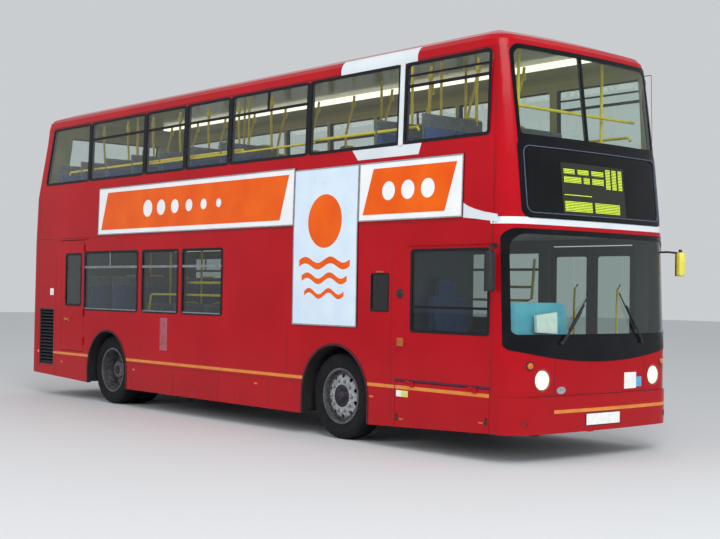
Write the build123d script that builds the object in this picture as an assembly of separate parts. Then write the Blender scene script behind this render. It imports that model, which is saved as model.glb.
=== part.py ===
from build123d import *
import os
from math import cos, radians, sin

# A two-door, low-floor double-deck city bus with the driver on the offside.
# Millimetres. X points forward, Y to the nearside (kerb), Z up, with the road at Z = 0.

# Overall size. Ends and sides that other places are measured from.
LENGTH = 10200
WIDTH = 2520
HEIGHT = 4300
NOSE = LENGTH / 2
TAIL = -LENGTH / 2
HALF = WIDTH / 2
BIG = 2 * LENGTH         # reach of a cut that goes past everything

# Body shell
WALL = 55                # thickness of side, front and rear walls
FRONT_BOW = 70           # how far the nose bows forward of its corners
REAR_BOW = 40
FRONT_CORNER = 300       # plan radius of the front corners
REAR_CORNER = 120
SMALLEST_CORNER = 40
ROOF_CORNER = 170
EAVE = HEIGHT - 250      # where the wall starts to turn into the roof
BUMPER_PROUD = 15        # the bumper stands this far ahead of the panel over it

# Shell outline going up. Columns: height, nose setback, tail setback, lean of each side.
SHELL_LEVELS = (
    (180, BUMPER_PROUD + 5, 0, 0),
    (1100, BUMPER_PROUD, 0, 0),
    (2300, 65, 15, 0),
    (3000, 135, 30, 17),
    (EAVE - 230, 242, 260, 42),
    (EAVE, 272, 300, 50),
)
ROOF_ANGLES = (30, 55, 80)
# Crown of the roof. Columns: distance from the wall line, drop below the top.
CROWN_LEVELS = (
    (320, 18),
    (700, 0),
)

# Decks
LOW_FLOOR = 330
FLOOR_DEPTH = 50
REAR_FLOOR = 700
REAR_FLOOR_DEPTH = 40
UPPER_FLOOR = 2400
DECK_DEPTH = 130
CEILING = UPPER_FLOOR - DECK_DEPTH

# Seams between panels
DECK_SEAM = UPPER_FLOOR - 40
ROOF_SEAM = EAVE + 10
FRONT_SEAM = NOSE - 360
REAR_SEAM = TAIL + 250
REAR_SEAM_BEND = 3000    # above this height the rear seam leans forward with the tail
REAR_SEAM_TOP = TAIL + 520

# Wheels: 275/70 R22.5 on ten-stud rims
FRONT_OVERHANG = 2738
REAR_OVERHANG = 2395
FRONT_AXLE_X = NOSE - FRONT_OVERHANG
REAR_AXLE_X = TAIL + REAR_OVERHANG
TYRE_R = 478
TYRE_WIDTH = 276
TYRE_INSET = 87          # outer side of the tyre behind the side of the bus
RIM_R = 300
RIM_WALL = 14
RIM_EDGE = 22            # rim edge inside the tyre's side
TYRE_SEAT = 0.5          # clearance of a tyre on its rim
DISC = 14                # thickness of a wheel's disc
STUD_HOLES = 10
HAND_HOLE_R = 24
HAND_HOLE_CIRCLE = 222
TRACK_HALF = HALF - TYRE_INSET - TYRE_WIDTH / 2
TWIN_SPACING = TYRE_WIDTH + 34
SEAT_GAP = 0.3           # clearance where one turning piece bears on another
HINGE_GAP = 6            # clearance round a door or flap

# Wheel arches
LINER = 12
ARCH_INNER_Y = TRACK_HALF - TWIN_SPACING - TYRE_WIDTH / 2 - 37
FRONT_ARCH_R = TYRE_R + 82
REAR_ARCH_R = TYRE_R + 62
AXLE_SLOT = 120          # half width of the slot that the rear axle moves in
# Columns: axle place, radius of the cut-out.
ARCHES = (
    (FRONT_AXLE_X, FRONT_ARCH_R),
    (REAR_AXLE_X, REAR_ARCH_R),
)
STEP_X = REAR_AXLE_X + REAR_ARCH_R + 265  # riser between the low floor and the rear floor
BULKHEAD_X = TAIL + 870                   # wall between the lower saloon and the engine bay

# Lower edge of the body: level between the axles, rising to the nose and the tail
SKIRT = 247
SKIRT_DROP = 27          # dip behind the front seam
SKIRT_RISE = 85          # rise to the tail
BUMPER_TOP = 650
BUMPER_BOTTOM = 290

# Rolled lip round each wheel arch: how far it stands off the wall, and its width
LIP = (6, 26)
ROOTED = 1               # how far lips and gutters run into the wall that they are part of

# Doors. Columns: rear edge, front edge, bottom, top.
DOOR_TOP = 2200
ENTRANCE = (NOSE - 1800, NOSE - 540, LOW_FLOOR, DOOR_TOP)
EXIT = (NOSE - 4850, NOSE - 3650, LOW_FLOOR, DOOR_TOP)
EMERGENCY = (TAIL + 1000, TAIL + 1700, REAR_FLOOR, DECK_SEAM - 30)
EMERGENCY_SILL = 1380
EMERGENCY_HEAD = 2120
EMERGENCY_HINGES = (850, 1260, 2200)
LEAF = 40                # thickness of a passenger door leaf
LEAF_INSET = 12          # its face behind the side of the bus
LEAF_POST_R = 18
LEAF_POST_IN = 42        # a leaf's post from the doorway's edge
LEAF_BORDER = 55
LEAF_BOTTOM = 130
LEAF_TOP = 110

# Side windows
UPPER_SILL = EAVE - 850
UPPER_HEAD = EAVE - 40
LOWER_SILL = 1330
LOWER_HEAD = 2135
PILLAR = 60
WINDOW_RADIUS = 30
GLASS = 6
GLASS_INSET = 3          # how far the glass lies behind the wall's outer face
PANE_GAP = 0.5           # clearance of a door's pane in its frame
DRIVER_WINDOW = (NOSE - 1500, NOSE - 400, 1240, 2070)
CAB_VENT_WINDOW = (NOSE - 2130, NOSE - 1850, 1435, 1830)
# Columns: rear bottom corner, rear top corner, front edge.
UPPER_REAR_BAY = (TAIL + 410, TAIL + 610, TAIL + 1720)

# Rain gutters over doors and the driver's window. Columns: side (-1 is offside), rear end, front end, bottom.
GUTTER = (18, 14)        # how far a gutter stands off the wall, and its height
GUTTERS = (
    (-1, EMERGENCY[0] - 80, EMERGENCY[1] + 80, EMERGENCY[3] + HINGE_GAP),
    (-1, DRIVER_WINDOW[0] - 40, FRONT_SEAM, DRIVER_WINDOW[3] + 50),
    (1, EXIT[0] - 50, EXIT[1] + 50, DOOR_TOP + 62),
    (1, ENTRANCE[0] - 50, ENTRANCE[1] + 40, DOOR_TOP + 62),
)

# Front and rear openings. Columns of each: half width, bottom, top.
LOWER_SCREEN = (HALF - 65, 985, 2240)
SCREEN_RISE = 120        # the lower screen's bottom edge rises this much to its ends
SCREEN_RADIUS = 150
DESTINATION = (HALF - 204, UPPER_FLOOR, UPPER_SILL - 95)
UPPER_SCREEN = (HALF - 210, UPPER_SILL - 32, EAVE)
SCREEN_BAR = (-100, 24, 30)  # middle, width and depth of the bar behind the upper screen's joint
SCREEN_LAP = 5               # how far that bar runs into the panel above and below the screen
REAR_WINDOW = (HALF - 480, UPPER_SILL + 50, UPPER_HEAD - 50)

# Flap in the offside skirt, grille and engine lid
FLAP = (NOSE - 1734, NOSE - 374, 716)     # rear edge, front edge, top
FLAP_THICKNESS = 20
FLAP_HINGES = (NOSE - 1500, NOSE - 600)
GRILLE = (TAIL + 310, TAIL + 770, 460, 1310)
GRILLE_PITCH = 50
GRILLE_FRAME = 22
GRILLE_DEPTH = 36
SLAT = 6                 # thickness of a slat
ENGINE_LID = (HALF - 330, 480, 1400)      # half width, bottom, top
LID_THICKNESS = 22
LID_TOP_GAP = 16
LID_SEAT = 12            # depth of the strap that holds a lid's barrel
LID_BARREL_R = 6
LID_HINGES = (-500, 500)
LOUVRES = 9              # slots in each half of the lid
LOUVRE = (560, 16, 60)   # length, height, pitch
HINGE_LENGTH = 60
PIN_LENGTH = 50
BARREL_R = 8
HINGE_PROUD = 11         # a side hinge's axis stands this far off the wall
STRAP = 8                # thickness of a side hinge's strap
STRAP_REACH = 14         # reach of the wall's half of a side hinge past the edge

# Lamps. Columns: y, z, radius.
LAMP_FIT = 0.5           # clearance of a lamp in its panel
LAMP_DEPTH = 60
HEADLAMP = (HALF - 389, 810, 100)
INDICATOR = (HALF - 230, 950, 42)
TAIL_LAMPS = (
    (HALF - 180, 600, 45),
    (HALF - 180, 720, 45),
    (HALF - 180, 840, 45),
)
LENS_PROUD = 5

# Staircase: it climbs forward over the offside wheel arch
STAIR_X0 = NOSE - 4700
STAIR_STEPS = 10
STAIR_GOING = 235
STAIR_WIDTH = 620
STAIR_Y0 = -HALF + WALL + 5
STAIR_Y1 = STAIR_Y0 + STAIR_WIDTH
STAIR_X1 = STAIR_X0 + STAIR_STEPS * STAIR_GOING
STAIRWELL_X0 = STAIR_X0 + 250
STAIR_PANEL = 15
GUARD_HEIGHT = 800

# Seats
SEAT_WIDTH = 880
SEAT_EDGE = 20           # clearance of a seat from the wall
SEAT_LENGTH = 440
UPPER_LEAN = 60          # further clearance on the upper deck, where the walls lean in
SEAT_PITCH = 735
KNEE_ROOM = 240
LEG = 60

# Rails and strip lights
RAIL_R = 16
RAIL_CLEAR = 9           # clearance of a pole from a seat
HAND_RAIL_RISE = 640     # front rail over the upper floor
WINDOW_RAIL_R = 12
WINDOW_RAIL_IN = 30      # a window rail's middle from the wall
WINDOW_RAIL_END = 20     # its length past the last stub
WINDOW_STUB_R = 9        # stub from a window rail to the wall
WINDOW_RAIL_RISE = 135   # a window rail over the upper sill
LIGHT_DEPTH = 45
LIGHT_WIDTH = 110
LIGHT_Y = HALF - 560
DOOR_POLE_Y = HALF - 700

# Driver's place
DRIVER_Y = -HALF + 540
CAB_FLOOR = 520
CAB_REAR_X = NOSE - 1650
CAB_SIDE_Y = DRIVER_Y + 462
CAB_WALL = 30
CAB_SIDE_TOP = 1250
COWL = (NOSE - 235, NOSE - 165, 1555)     # rear face, front face, top
COWL_Y = (DRIVER_Y - 480, DRIVER_Y + 330)
WHEEL_R = 220
WHEEL_RIM_R = 14
WHEEL_X = NOSE - 760
WHEEL_Z = 1160

# Chassis
RAIL_WIDTH = 70
RAIL_Y0 = ARCH_INNER_Y - 160
RAIL_BOTTOM = 200
RAIL_TOP = LOW_FLOOR - FLOOR_DEPTH
REAR_RAIL_TOP = REAR_FLOOR - REAR_FLOOR_DEPTH
REAR_RAIL_BOTTOM = REAR_RAIL_TOP - 60
ENGINE_RAIL = (350, 440)                  # bottom, top of the rail under the engine
ENGINE = (TAIL + 280, TAIL + 770, HALF - 560, 860)   # rear, front, half width, height over the rail
EYE_R = 18
EYE_EDGE = 40
EYE_LENGTH = 85
EYE_PLATE = 30
JACK_PAD = (NOSE - 4100, 100, 8)          # place, length, depth under the rail
MEMBER_HALF = 40

# Axles
KINGPIN_Y = TRACK_HALF - 105
BEAM_HALF = 45
BOSS_HALF = 60
LUG = 25
HUB_FACE_Y = TRACK_HALF - 20
FLANGE_R = 120
CASING_R = 75
BOWL_R = 170
SHAFT_R = 45

# Display boards on the offside. Columns: rear edge, front edge, bottom, top.
BOARD = 10
BOARD_GAP = 6
BOARD_TOP = UPPER_SILL - 150
BOARD_BOTTOM = UPPER_FLOOR - 15
BOARDS = (
    (TAIL + 2100, NOSE - 3501 - BOARD_GAP / 2, BOARD_BOTTOM, BOARD_TOP),
    (NOSE - 3501 + BOARD_GAP / 2, NOSE - 2354 - BOARD_GAP / 2, BOARD_BOTTOM - 1135, BOARD_TOP - 30),
    (NOSE - 2354 + BOARD_GAP / 2, NOSE - 770, BOARD_BOTTOM + 5, BOARD_TOP - 30),
)

# Mirrors and wipers
MIRROR_SPAN = 140        # outer edge of a mirror beyond the side of the bus
MIRROR = (80, 110, 330)  # depth, width, height of a head
MIRROR_TOP = 2110
MIRROR_ROUND = 24
MIRROR_X = NOSE - 210
# Columns: y of the spindle, y of the blade's tip.
WIPERS = (
    (-580, -200),
    (600, 300),
)
WIPER_BASE = 1165
WIPER_TIP = 1660
ARM_R = 7


def block(x0, x1, y0, y1, z0, z1):
    """Box between two opposite corners."""
    middle = ((x0 + x1) / 2, (y0 + y1) / 2, (z0 + z1) / 2)
    return Pos(*middle) * Box(abs(x1 - x0), abs(y1 - y0), abs(z1 - z0))


def rod(start, end, radius):
    """Round bar between two points."""
    start = Vector(start)
    end = Vector(end)
    plane = Plane(origin=start, z_dir=end - start)
    return plane * Cylinder(radius, (end - start).length, align=(Align.CENTER, Align.CENTER, Align.MIN))


def side_plate(points, y0, y1, radius=0):
    """Prism from an outline of (x, z) points, between two distances across the bus."""
    outline = make_face(Polyline(*[(x, 0, z) for x, z in points], close=True)).face()
    if radius:
        outline = outline.fillet_2d(radius, outline.vertices())
    return Pos(0, y0, 0) * extrude(outline, y1 - y0, dir=(0, 1, 0))


def fuse(pieces):
    body = pieces[0]
    for piece in pieces[1:]:
        body = body + piece
    return body


def mirrored(shape):
    return mirror(shape, Plane.XZ)


def both_sides(shapes):
    return shapes + [mirrored(shape) for shape in shapes]


def bays(start, end, widths, pillars):
    """Window bays that fill a stretch: the widths share out what the pillars leave."""
    scale = (end - start - sum(pillars)) / sum(widths)
    found = []
    x = start
    for width, pillar in zip(widths, pillars + (0,)):
        found.append((x, x + width * scale))
        x += width * scale + pillar
    return found


UPPER_BAYS = bays(TAIL + 1780, NOSE - 460, (1480, 960, 950, 1520, 1500, 1200), (PILLAR,) * 4 + (110,))
OFFSIDE_BAYS = bays(EMERGENCY[1] + 20, TAIL + 5238, (1480, 880, 894), (140, 124))
NEARSIDE_BAYS = bays(TAIL + 460, EXIT[0] - 130, (1200, 1480, 880, 876), (PILLAR, 140, 124))
NEARSIDE_BAYS.append((EXIT[1] + 170, ENTRANCE[0] - 150))


def rows(start, end):
    """Rear edges of the seat rows that fit between two places."""
    count = int((end - start - SEAT_LENGTH) // SEAT_PITCH) + 1
    return [start + i * SEAT_PITCH for i in range(count)]


LOWER_ROWS = rows(STEP_X + 150, STAIR_X0 - KNEE_ROOM)
REAR_ROWS_NEAR = rows(BULKHEAD_X + 70, STEP_X - KNEE_ROOM)
REAR_ROWS_OFF = rows(EMERGENCY[1] + 10, STEP_X - KNEE_ROOM)
UPPER_ROWS_NEAR = rows(TAIL + 600, NOSE - 900)
UPPER_ROWS_OFF = rows(TAIL + 600, STAIRWELL_X0 - 200) + rows(STAIR_X1 + 150, NOSE - 900)


def plan_face(z, nose_back, tail_back, lean, corner_cut):
    """Plan outline of the shell at one height: bowed nose and tail, straight sides, round corners."""
    nose = NOSE - nose_back
    tail = TAIL + tail_back
    half = HALF - lean
    front = ThreePointArc((nose - FRONT_BOW, -half), (nose, 0), (nose - FRONT_BOW, half))
    rear = ThreePointArc((tail + REAR_BOW, half), (tail, 0), (tail + REAR_BOW, -half))
    near = Line((nose - FRONT_BOW, half), (tail + REAR_BOW, half))
    off = Line((tail + REAR_BOW, -half), (nose - FRONT_BOW, -half))
    face = make_face([front, near, rear, off]).face()
    front_corners = face.vertices().sort_by(Axis.X)[2:]
    face = face.fillet_2d(max(FRONT_CORNER - corner_cut, SMALLEST_CORNER), front_corners)
    rear_corners = face.vertices().sort_by(Axis.X)[:2]
    face = face.fillet_2d(max(REAR_CORNER - corner_cut, SMALLEST_CORNER), rear_corners)
    return Pos(0, 0, z) * face


def envelope(inset):
    """The body's closed outer form, or the same form drawn in by an inset."""
    sections = []
    for z, nose, tail, lean in SHELL_LEVELS:
        sections.append(plan_face(z, nose + inset, tail + inset, lean + inset, inset))
    z, nose, tail, lean = SHELL_LEVELS[-1]
    radius = ROOF_CORNER - inset
    for angle in ROOF_ANGLES:
        run = radius * (1 - cos(radians(angle))) + inset
        rise = radius * sin(radians(angle))
        sections.append(plan_face(z + rise, nose + run, tail + run, lean + run, run))
    for run, drop in CROWN_LEVELS:
        sections.append(plan_face(HEIGHT - inset - drop, nose + run, tail + run, lean + run, run))
    return loft(sections, ruled=True)


def level_at(z, column):
    """One column of the shell's level table, read at any height."""
    for low, high in zip(SHELL_LEVELS, SHELL_LEVELS[1:]):
        if z <= high[0]:
            share = (z - low[0]) / (high[0] - low[0])
            return low[column] + share * (high[column] - low[column])
    return SHELL_LEVELS[-1][column]


def bow_at(y, bow):
    """How far a bowed end falls back at one distance from the centre line."""
    radius = (HALF ** 2 + bow ** 2) / (2 * bow)
    return radius - (radius ** 2 - y ** 2) ** 0.5


def nose_x(y, z):
    return NOSE - level_at(z, 1) - bow_at(y, FRONT_BOW)


def tail_x(y, z):
    return TAIL + level_at(z, 2) + bow_at(y, REAR_BOW)


OUTER = envelope(0)
INNER = envelope(WALL)
SHELL = OUTER - INNER
GLAZED = envelope(GLASS_INSET)
GLAZING = GLAZED - envelope(GLASS_INSET + GLASS)


def side_prism(x0, x1, z0, z1, y0, y1, radius=WINDOW_RADIUS):
    """Round-cornered opening through a side wall."""
    outline = RectangleRounded(x1 - x0, z1 - z0, radius)
    face = Plane(origin=((x0 + x1) / 2, y0, (z0 + z1) / 2), x_dir=(1, 0, 0), z_dir=(0, 1, 0)) * outline
    return extrude(face, y1 - y0, dir=(0, 1, 0))


def end_prism(opening, x0, length, radius=WINDOW_RADIUS):
    """Round-cornered opening through an end, from half width, bottom and top."""
    half, z0, z1 = opening
    face = Plane(origin=(x0, 0, (z0 + z1) / 2), x_dir=(0, 1, 0), z_dir=(1, 0, 0)) \
        * RectangleRounded(2 * half, z1 - z0, radius)
    return extrude(face, length, dir=(1, 0, 0))


def front_prism(opening):
    return end_prism(opening, FRONT_SEAM - 120, 700)


def rear_prism(opening):
    return end_prism(opening, TAIL - 100, 600)


def lower_screen_prism():
    """Opening of the lower windscreen: round at the top, its bottom edge an arc that dips in the middle."""
    half, z0, z1 = LOWER_SCREEN
    low = z0 + SCREEN_RISE
    bottom = ThreePointArc((0, -half, low), (0, 0, z0), (0, half, low))
    sides = Polyline((0, half, low), (0, half, z1), (0, -half, z1), (0, -half, low))
    outline = make_face([bottom, sides]).face()
    tops = outline.vertices().sort_by(Axis.Z)[2:]
    outline = outline.fillet_2d(SCREEN_RADIUS, tops)
    lows = [v for v in outline.vertices() if v.Z < low + 1]
    outline = outline.fillet_2d(WINDOW_RADIUS, lows)
    return Pos(FRONT_SEAM - 120, 0, 0) * extrude(outline, 700, dir=(1, 0, 0))


def arch_prism(x, radius, y0, y1):
    """Wheel arch cut-out: a half round with straight sides down to the road."""
    disc = rod((x, y0, TYRE_R), (x, y1, TYRE_R), radius)
    sides = block(x - radius, x + radius, y0, y1, 0, TYRE_R)
    return disc + sides - block(x - radius, x + radius, y0, y1, -radius, 0)


def side_range(side):
    """Y range that holds one side wall: side is -1 for the offside, 1 for the nearside."""
    reach = 120
    inner = side * (HALF - WALL - reach)
    outer = side * (HALF + reach)
    return min(inner, outer), max(inner, outer)


def upper_openings(side):
    y0, y1 = side_range(side)
    bottom_x, top_x, front_x = UPPER_REAR_BAY
    corners = ((bottom_x, UPPER_SILL), (front_x, UPPER_SILL), (front_x, UPPER_HEAD), (top_x, UPPER_HEAD))
    cuts = [side_plate(corners, y0, y1, WINDOW_RADIUS)]
    for x0, x1 in UPPER_BAYS:
        cuts.append(side_prism(x0, x1, UPPER_SILL, UPPER_HEAD, y0, y1))
    return cuts


def lower_openings(side):
    y0, y1 = side_range(side)
    spans = OFFSIDE_BAYS if side < 0 else NEARSIDE_BAYS
    cuts = [side_prism(x0, x1, LOWER_SILL, LOWER_HEAD, y0, y1) for x0, x1 in spans]
    if side < 0:
        cuts.append(side_prism(*DRIVER_WINDOW, y0, y1))
        cuts.append(side_prism(*CAB_VENT_WINDOW, y0, y1, WINDOW_RADIUS / 2))
    return cuts


def skirt_cut():
    """What lies under the body's lower edge, which rises to the nose and to the tail."""
    line = (
        (-BIG, 0), (BIG, 0), (BIG, BUMPER_BOTTOM), (FRONT_SEAM, BUMPER_BOTTOM),
        (FRONT_AXLE_X + FRONT_ARCH_R, SKIRT - SKIRT_DROP), (FRONT_AXLE_X, SKIRT), (REAR_AXLE_X, SKIRT),
        (TAIL, SKIRT + SKIRT_RISE), (-BIG, SKIRT + SKIRT_RISE),
    )
    return side_plate(line, -WIDTH, WIDTH)


UNDER = skirt_cut()
# What lies behind the seam between the upper side walls and the rear panel
BEHIND_UPPER = side_plate(
    ((-BIG, DECK_SEAM), (REAR_SEAM, DECK_SEAM), (REAR_SEAM, REAR_SEAM_BEND),
     (REAR_SEAM_TOP, ROOF_SEAM), (-BIG, ROOF_SEAM)), -WIDTH, WIDTH)


def arch_lip(x, radius, side):
    """Lip that stands off one side wall round a wheel arch."""
    proud, width = LIP
    y0, y1 = sorted((side * (HALF - ROOTED), side * (HALF + proud)))
    lip = arch_prism(x, radius + width, y0, y1) - arch_prism(x, radius, y0 - proud, y1 + proud)
    return lip - UNDER


def side_walls():
    """Lower and upper side wall panels of both sides, with their openings cut."""
    walls = {}
    for side, name in ((-1, "offside"), (1, "nearside")):
        y0, y1 = side_range(side)
        lower = SHELL & block(REAR_SEAM, FRONT_SEAM, y0, y1, 0, DECK_SEAM)
        upper = SHELL & block(REAR_SEAM, FRONT_SEAM, y0, y1, DECK_SEAM, ROOF_SEAM) - BEHIND_UPPER
        lower = lower - UNDER
        for cut in lower_openings(side):
            lower = lower - cut
        for cut in upper_openings(side):
            upper = upper - cut
        for x, radius in ARCHES:
            lower = lower - arch_prism(x, radius, y0, y1)
            lower = lower + arch_lip(x, radius, side)
        if side < 0:
            x0, x1, top = FLAP
            for x0, x1, z0, z1 in (EMERGENCY, GRILLE, (x0, x1, 0, top)):
                lower = lower - block(x0, x1, y0, y1, z0, z1)
        else:
            for x0, x1, z0, z1 in (ENTRANCE, EXIT):
                lower = lower - block(x0, x1, y0, y1, z0, z1)
        for gutter_side, x0, x1, z0 in GUTTERS:
            if gutter_side == side:
                proud, height = GUTTER
                lower = lower + block(x0, x1, side * (HALF - ROOTED), side * (HALF + proud), z0, z0 + height)
        walls[name + "_lower_wall"] = lower
        walls[name + "_upper_wall"] = upper
    hinges = emergency_hinge_pins() + flap_hinge_pins()
    walls["offside_lower_wall"] = fuse([walls["offside_lower_wall"]] + hinges)
    return walls


def side_glass():
    panes = {}
    for side, name in ((-1, "offside"), (1, "nearside")):
        panes[name + "_glass"] = [GLAZING & cut for cut in upper_openings(side) + lower_openings(side)]
    return panes


def front_panels():
    """Lower and upper mouldings of the nose, the bumper and both windscreens."""
    lower = SHELL & block(FRONT_SEAM, BIG, -WIDTH, WIDTH, BUMPER_TOP, DECK_SEAM)
    lower = lower - lower_screen_prism()
    for lamp in front_lamps(LAMP_FIT):
        lower = lower - lamp
    bumper = block(FRONT_SEAM, BIG, -HALF, HALF, BUMPER_BOTTOM, BUMPER_TOP)
    bumper = bumper & (envelope(-BUMPER_PROUD) - INNER)
    upper = SHELL & block(FRONT_SEAM, BIG, -WIDTH, WIDTH, DECK_SEAM, ROOF_SEAM)
    upper = upper - front_prism(UPPER_SCREEN) - front_prism(DESTINATION)
    middle, width, depth = SCREEN_BAR
    skin = GLASS_INSET + GLASS + SEAT_GAP
    low = UPPER_SCREEN[1] - SCREEN_LAP
    bar = block(FRONT_SEAM, BIG, middle - width / 2, middle + width / 2, low, EAVE + SCREEN_LAP)
    upper = upper + ((envelope(skin) - envelope(skin + depth)) & bar)
    return {
        "front_lower_panel": lower,
        "front_bumper": bumper,
        "front_upper_panel": upper,
        "lower_windscreen": GLAZING & lower_screen_prism(),
        "upper_windscreen": GLAZING & front_prism(UPPER_SCREEN),
    }


def destination_box():
    """Closed housing of the route display, its face following the bowed front."""
    return GLAZED & front_prism(DESTINATION) & block(FRONT_SEAM, BIG, -WIDTH, WIDTH, UPPER_FLOOR, HEIGHT)


def lid_axis():
    """Place of the engine lid's hinge line, in the gap over the lid."""
    return TAIL + LID_BARREL_R, ENGINE_LID[2] + LID_BARREL_R + 1


def rear_panels():
    """Lower panel round the engine lid, with its half of the lid's hinges, and the upper panel."""
    half, z0, z1 = ENGINE_LID
    x, z = lid_axis()
    lower = (SHELL & block(-BIG, REAR_SEAM, -WIDTH, WIDTH, 0, DECK_SEAM)) - UNDER
    edge = half + HINGE_GAP
    lower = lower - block(-BIG, REAR_SEAM, -edge, edge, z0 - HINGE_GAP, z1 + LID_TOP_GAP)
    for lamp in rear_lamps(LAMP_FIT):
        lower = lower - lamp
    for y in LID_HINGES:
        lower = lower + block(x, x + LID_SEAT, y, y + HINGE_LENGTH, z, z1 + LID_TOP_GAP + 2)
        lower = lower + rod((x, y, z), (x, y + HINGE_LENGTH, z), LID_BARREL_R)
    return {
        "rear_lower_panel": lower,
        "rear_upper_panel": (SHELL & BEHIND_UPPER) - rear_prism(REAR_WINDOW),
        "rear_window": GLAZING & rear_prism(REAR_WINDOW),
    }


def engine_cover():
    """Lid over the engine: two banks of cooling slots, hung on barrels at its top."""
    half, z0, z1 = ENGINE_LID
    length, height, pitch = LOUVRE
    x, z = lid_axis()
    lid = (OUTER - envelope(LID_THICKNESS)) & block(-BIG, REAR_SEAM, -half, half, z0, z1)
    first = (z0 + z1 - (LOUVRES - 1) * pitch) / 2
    for y in (-half / 2, half / 2):
        for i in range(LOUVRES):
            middle = first + i * pitch
            slot = (length / 2, middle - height / 2, middle + height / 2)
            lid = lid - Pos(0, y, 0) * rear_prism_slot(slot)
    for y in LID_HINGES:
        y1 = y - SEAT_GAP
        lid = lid + rod((x, y1 - HINGE_LENGTH, z), (x, y1, z), LID_BARREL_R)
        lid = lid + block(x, x + LID_SEAT, y1 - HINGE_LENGTH, y1, z - 5 * LID_BARREL_R, z)
    return lid


def rear_prism_slot(slot):
    half, z0, z1 = slot
    return end_prism(slot, TAIL - 100, 300, (z1 - z0) / 2 - SEAT_GAP)


def roof():
    return SHELL & block(-BIG, BIG, -WIDTH, WIDTH, ROOF_SEAM, HEIGHT + 1)


def wheel_housings():
    """Wheel housings, open below and to the outside."""
    reach = HALF - WALL
    found = []
    for x, radius in ARCHES:
        outer = arch_prism(x, radius + LINER, ARCH_INNER_Y, reach)
        hollow = arch_prism(x, radius, ARCH_INNER_Y + LINER, reach)
        housing = (outer - hollow) - block(-BIG, BIG, 0, reach, 0, RAIL_TOP)
        if x == REAR_AXLE_X:
            housing = housing - block(x - AXLE_SLOT, x + AXLE_SLOT, 0, reach, 0, TYRE_R + AXLE_SLOT)
        found.append(housing)
    return both_sides(found)


def clear_of_arches(shape):
    """A floor or panel cut to let both pairs of wheel housings through."""
    for x, radius in ARCHES:
        cut = arch_prism(x, radius + LINER, ARCH_INNER_Y, HALF)
        shape = shape - cut - mirrored(cut)
    return shape


def lower_floor():
    """Low floor, the step to the raised rear floor, and the bulkhead before the engine."""
    low = block(STEP_X, FRONT_SEAM, -WIDTH, WIDTH, RAIL_TOP, LOW_FLOOR)
    riser = block(STEP_X - FLOOR_DEPTH, STEP_X, -WIDTH, WIDTH, RAIL_TOP, REAR_FLOOR)
    high = block(BULKHEAD_X, STEP_X, -WIDTH, WIDTH, REAR_RAIL_TOP, REAR_FLOOR)
    wall = block(BULKHEAD_X - FLOOR_DEPTH, BULKHEAD_X, -WIDTH, WIDTH, REAR_RAIL_TOP, CEILING)
    return clear_of_arches((low + riser + high + wall) & INNER)


def upper_floor():
    deck = INNER & block(REAR_SEAM - 60, FRONT_SEAM, -WIDTH, WIDTH, CEILING, UPPER_FLOOR)
    well = block(STAIRWELL_X0, STAIR_X1, STAIR_Y0 - 100, STAIR_Y1, 0, HEIGHT)
    return deck - well


def staircase():
    """Flight of steps, the panel that closes its side, and the guard round the well upstairs."""
    rise = (UPPER_FLOOR - LOW_FLOOR) / STAIR_STEPS
    points = []
    for step in range(STAIR_STEPS):
        x = STAIR_X0 + step * STAIR_GOING
        points.append((x, LOW_FLOOR + step * rise))
        points.append((x, LOW_FLOOR + (step + 1) * rise))
    points.append((STAIR_X1, UPPER_FLOOR))
    points.append((STAIR_X1, CEILING))
    points.append((STAIR_X0 + STAIR_GOING, LOW_FLOOR))
    flight = side_plate(points, STAIR_Y0, STAIR_Y1)
    near = STAIR_Y1 + SEAT_GAP
    panel = side_plate(
        ((STAIR_X0 + 2 * STAIR_GOING, LOW_FLOOR), (STAIR_X1, LOW_FLOOR), (STAIR_X1, CEILING),
         (STAIR_X0 + 4 * STAIR_GOING, CEILING), (STAIR_X0 + 2 * STAIR_GOING, LOW_FLOOR + 5 * rise)),
        near, near + STAIR_PANEL)
    panel = clear_of_arches(panel)
    guard = side_plate(
        ((STAIRWELL_X0, UPPER_FLOOR), (STAIR_X1 - STAIR_GOING, UPPER_FLOOR),
         (STAIR_X1 - STAIR_GOING, UPPER_FLOOR + GUARD_HEIGHT), (STAIRWELL_X0, UPPER_FLOOR + GUARD_HEIGHT)),
        near, near + STAIR_PANEL)
    end = block(STAIRWELL_X0 - STAIR_PANEL, STAIRWELL_X0, STAIR_Y0 + UPPER_LEAN, near + STAIR_PANEL,
                UPPER_FLOOR, UPPER_FLOOR + GUARD_HEIGHT)
    return [flight, panel, guard + end]


def seat_places():
    """Every double seat: rear edge of its cushion, floor, and y range."""
    inset = WALL + SEAT_EDGE
    places = []
    for spots, floor, side, lean in (
        (LOWER_ROWS, LOW_FLOOR, -1, 0), (LOWER_ROWS, LOW_FLOOR, 1, 0),
        (REAR_ROWS_OFF, REAR_FLOOR, -1, 0), (REAR_ROWS_NEAR, REAR_FLOOR, 1, 0),
        (UPPER_ROWS_OFF, UPPER_FLOOR, -1, UPPER_LEAN), (UPPER_ROWS_NEAR, UPPER_FLOOR, 1, UPPER_LEAN),
    ):
        edge = HALF - inset - lean
        y0, y1 = sorted((side * edge, side * (edge - SEAT_WIDTH)))
        for x in spots:
            places.append((x, floor, y0, y1))
    return places


def off_humps(shape, floor):
    """A seat piece cut clear of the wheel housings under it."""
    if floor != REAR_FLOOR:
        return shape
    return shape - arch_prism(REAR_AXLE_X, REAR_ARCH_R + LINER + SEAT_GAP, -WIDTH, WIDTH)


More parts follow.
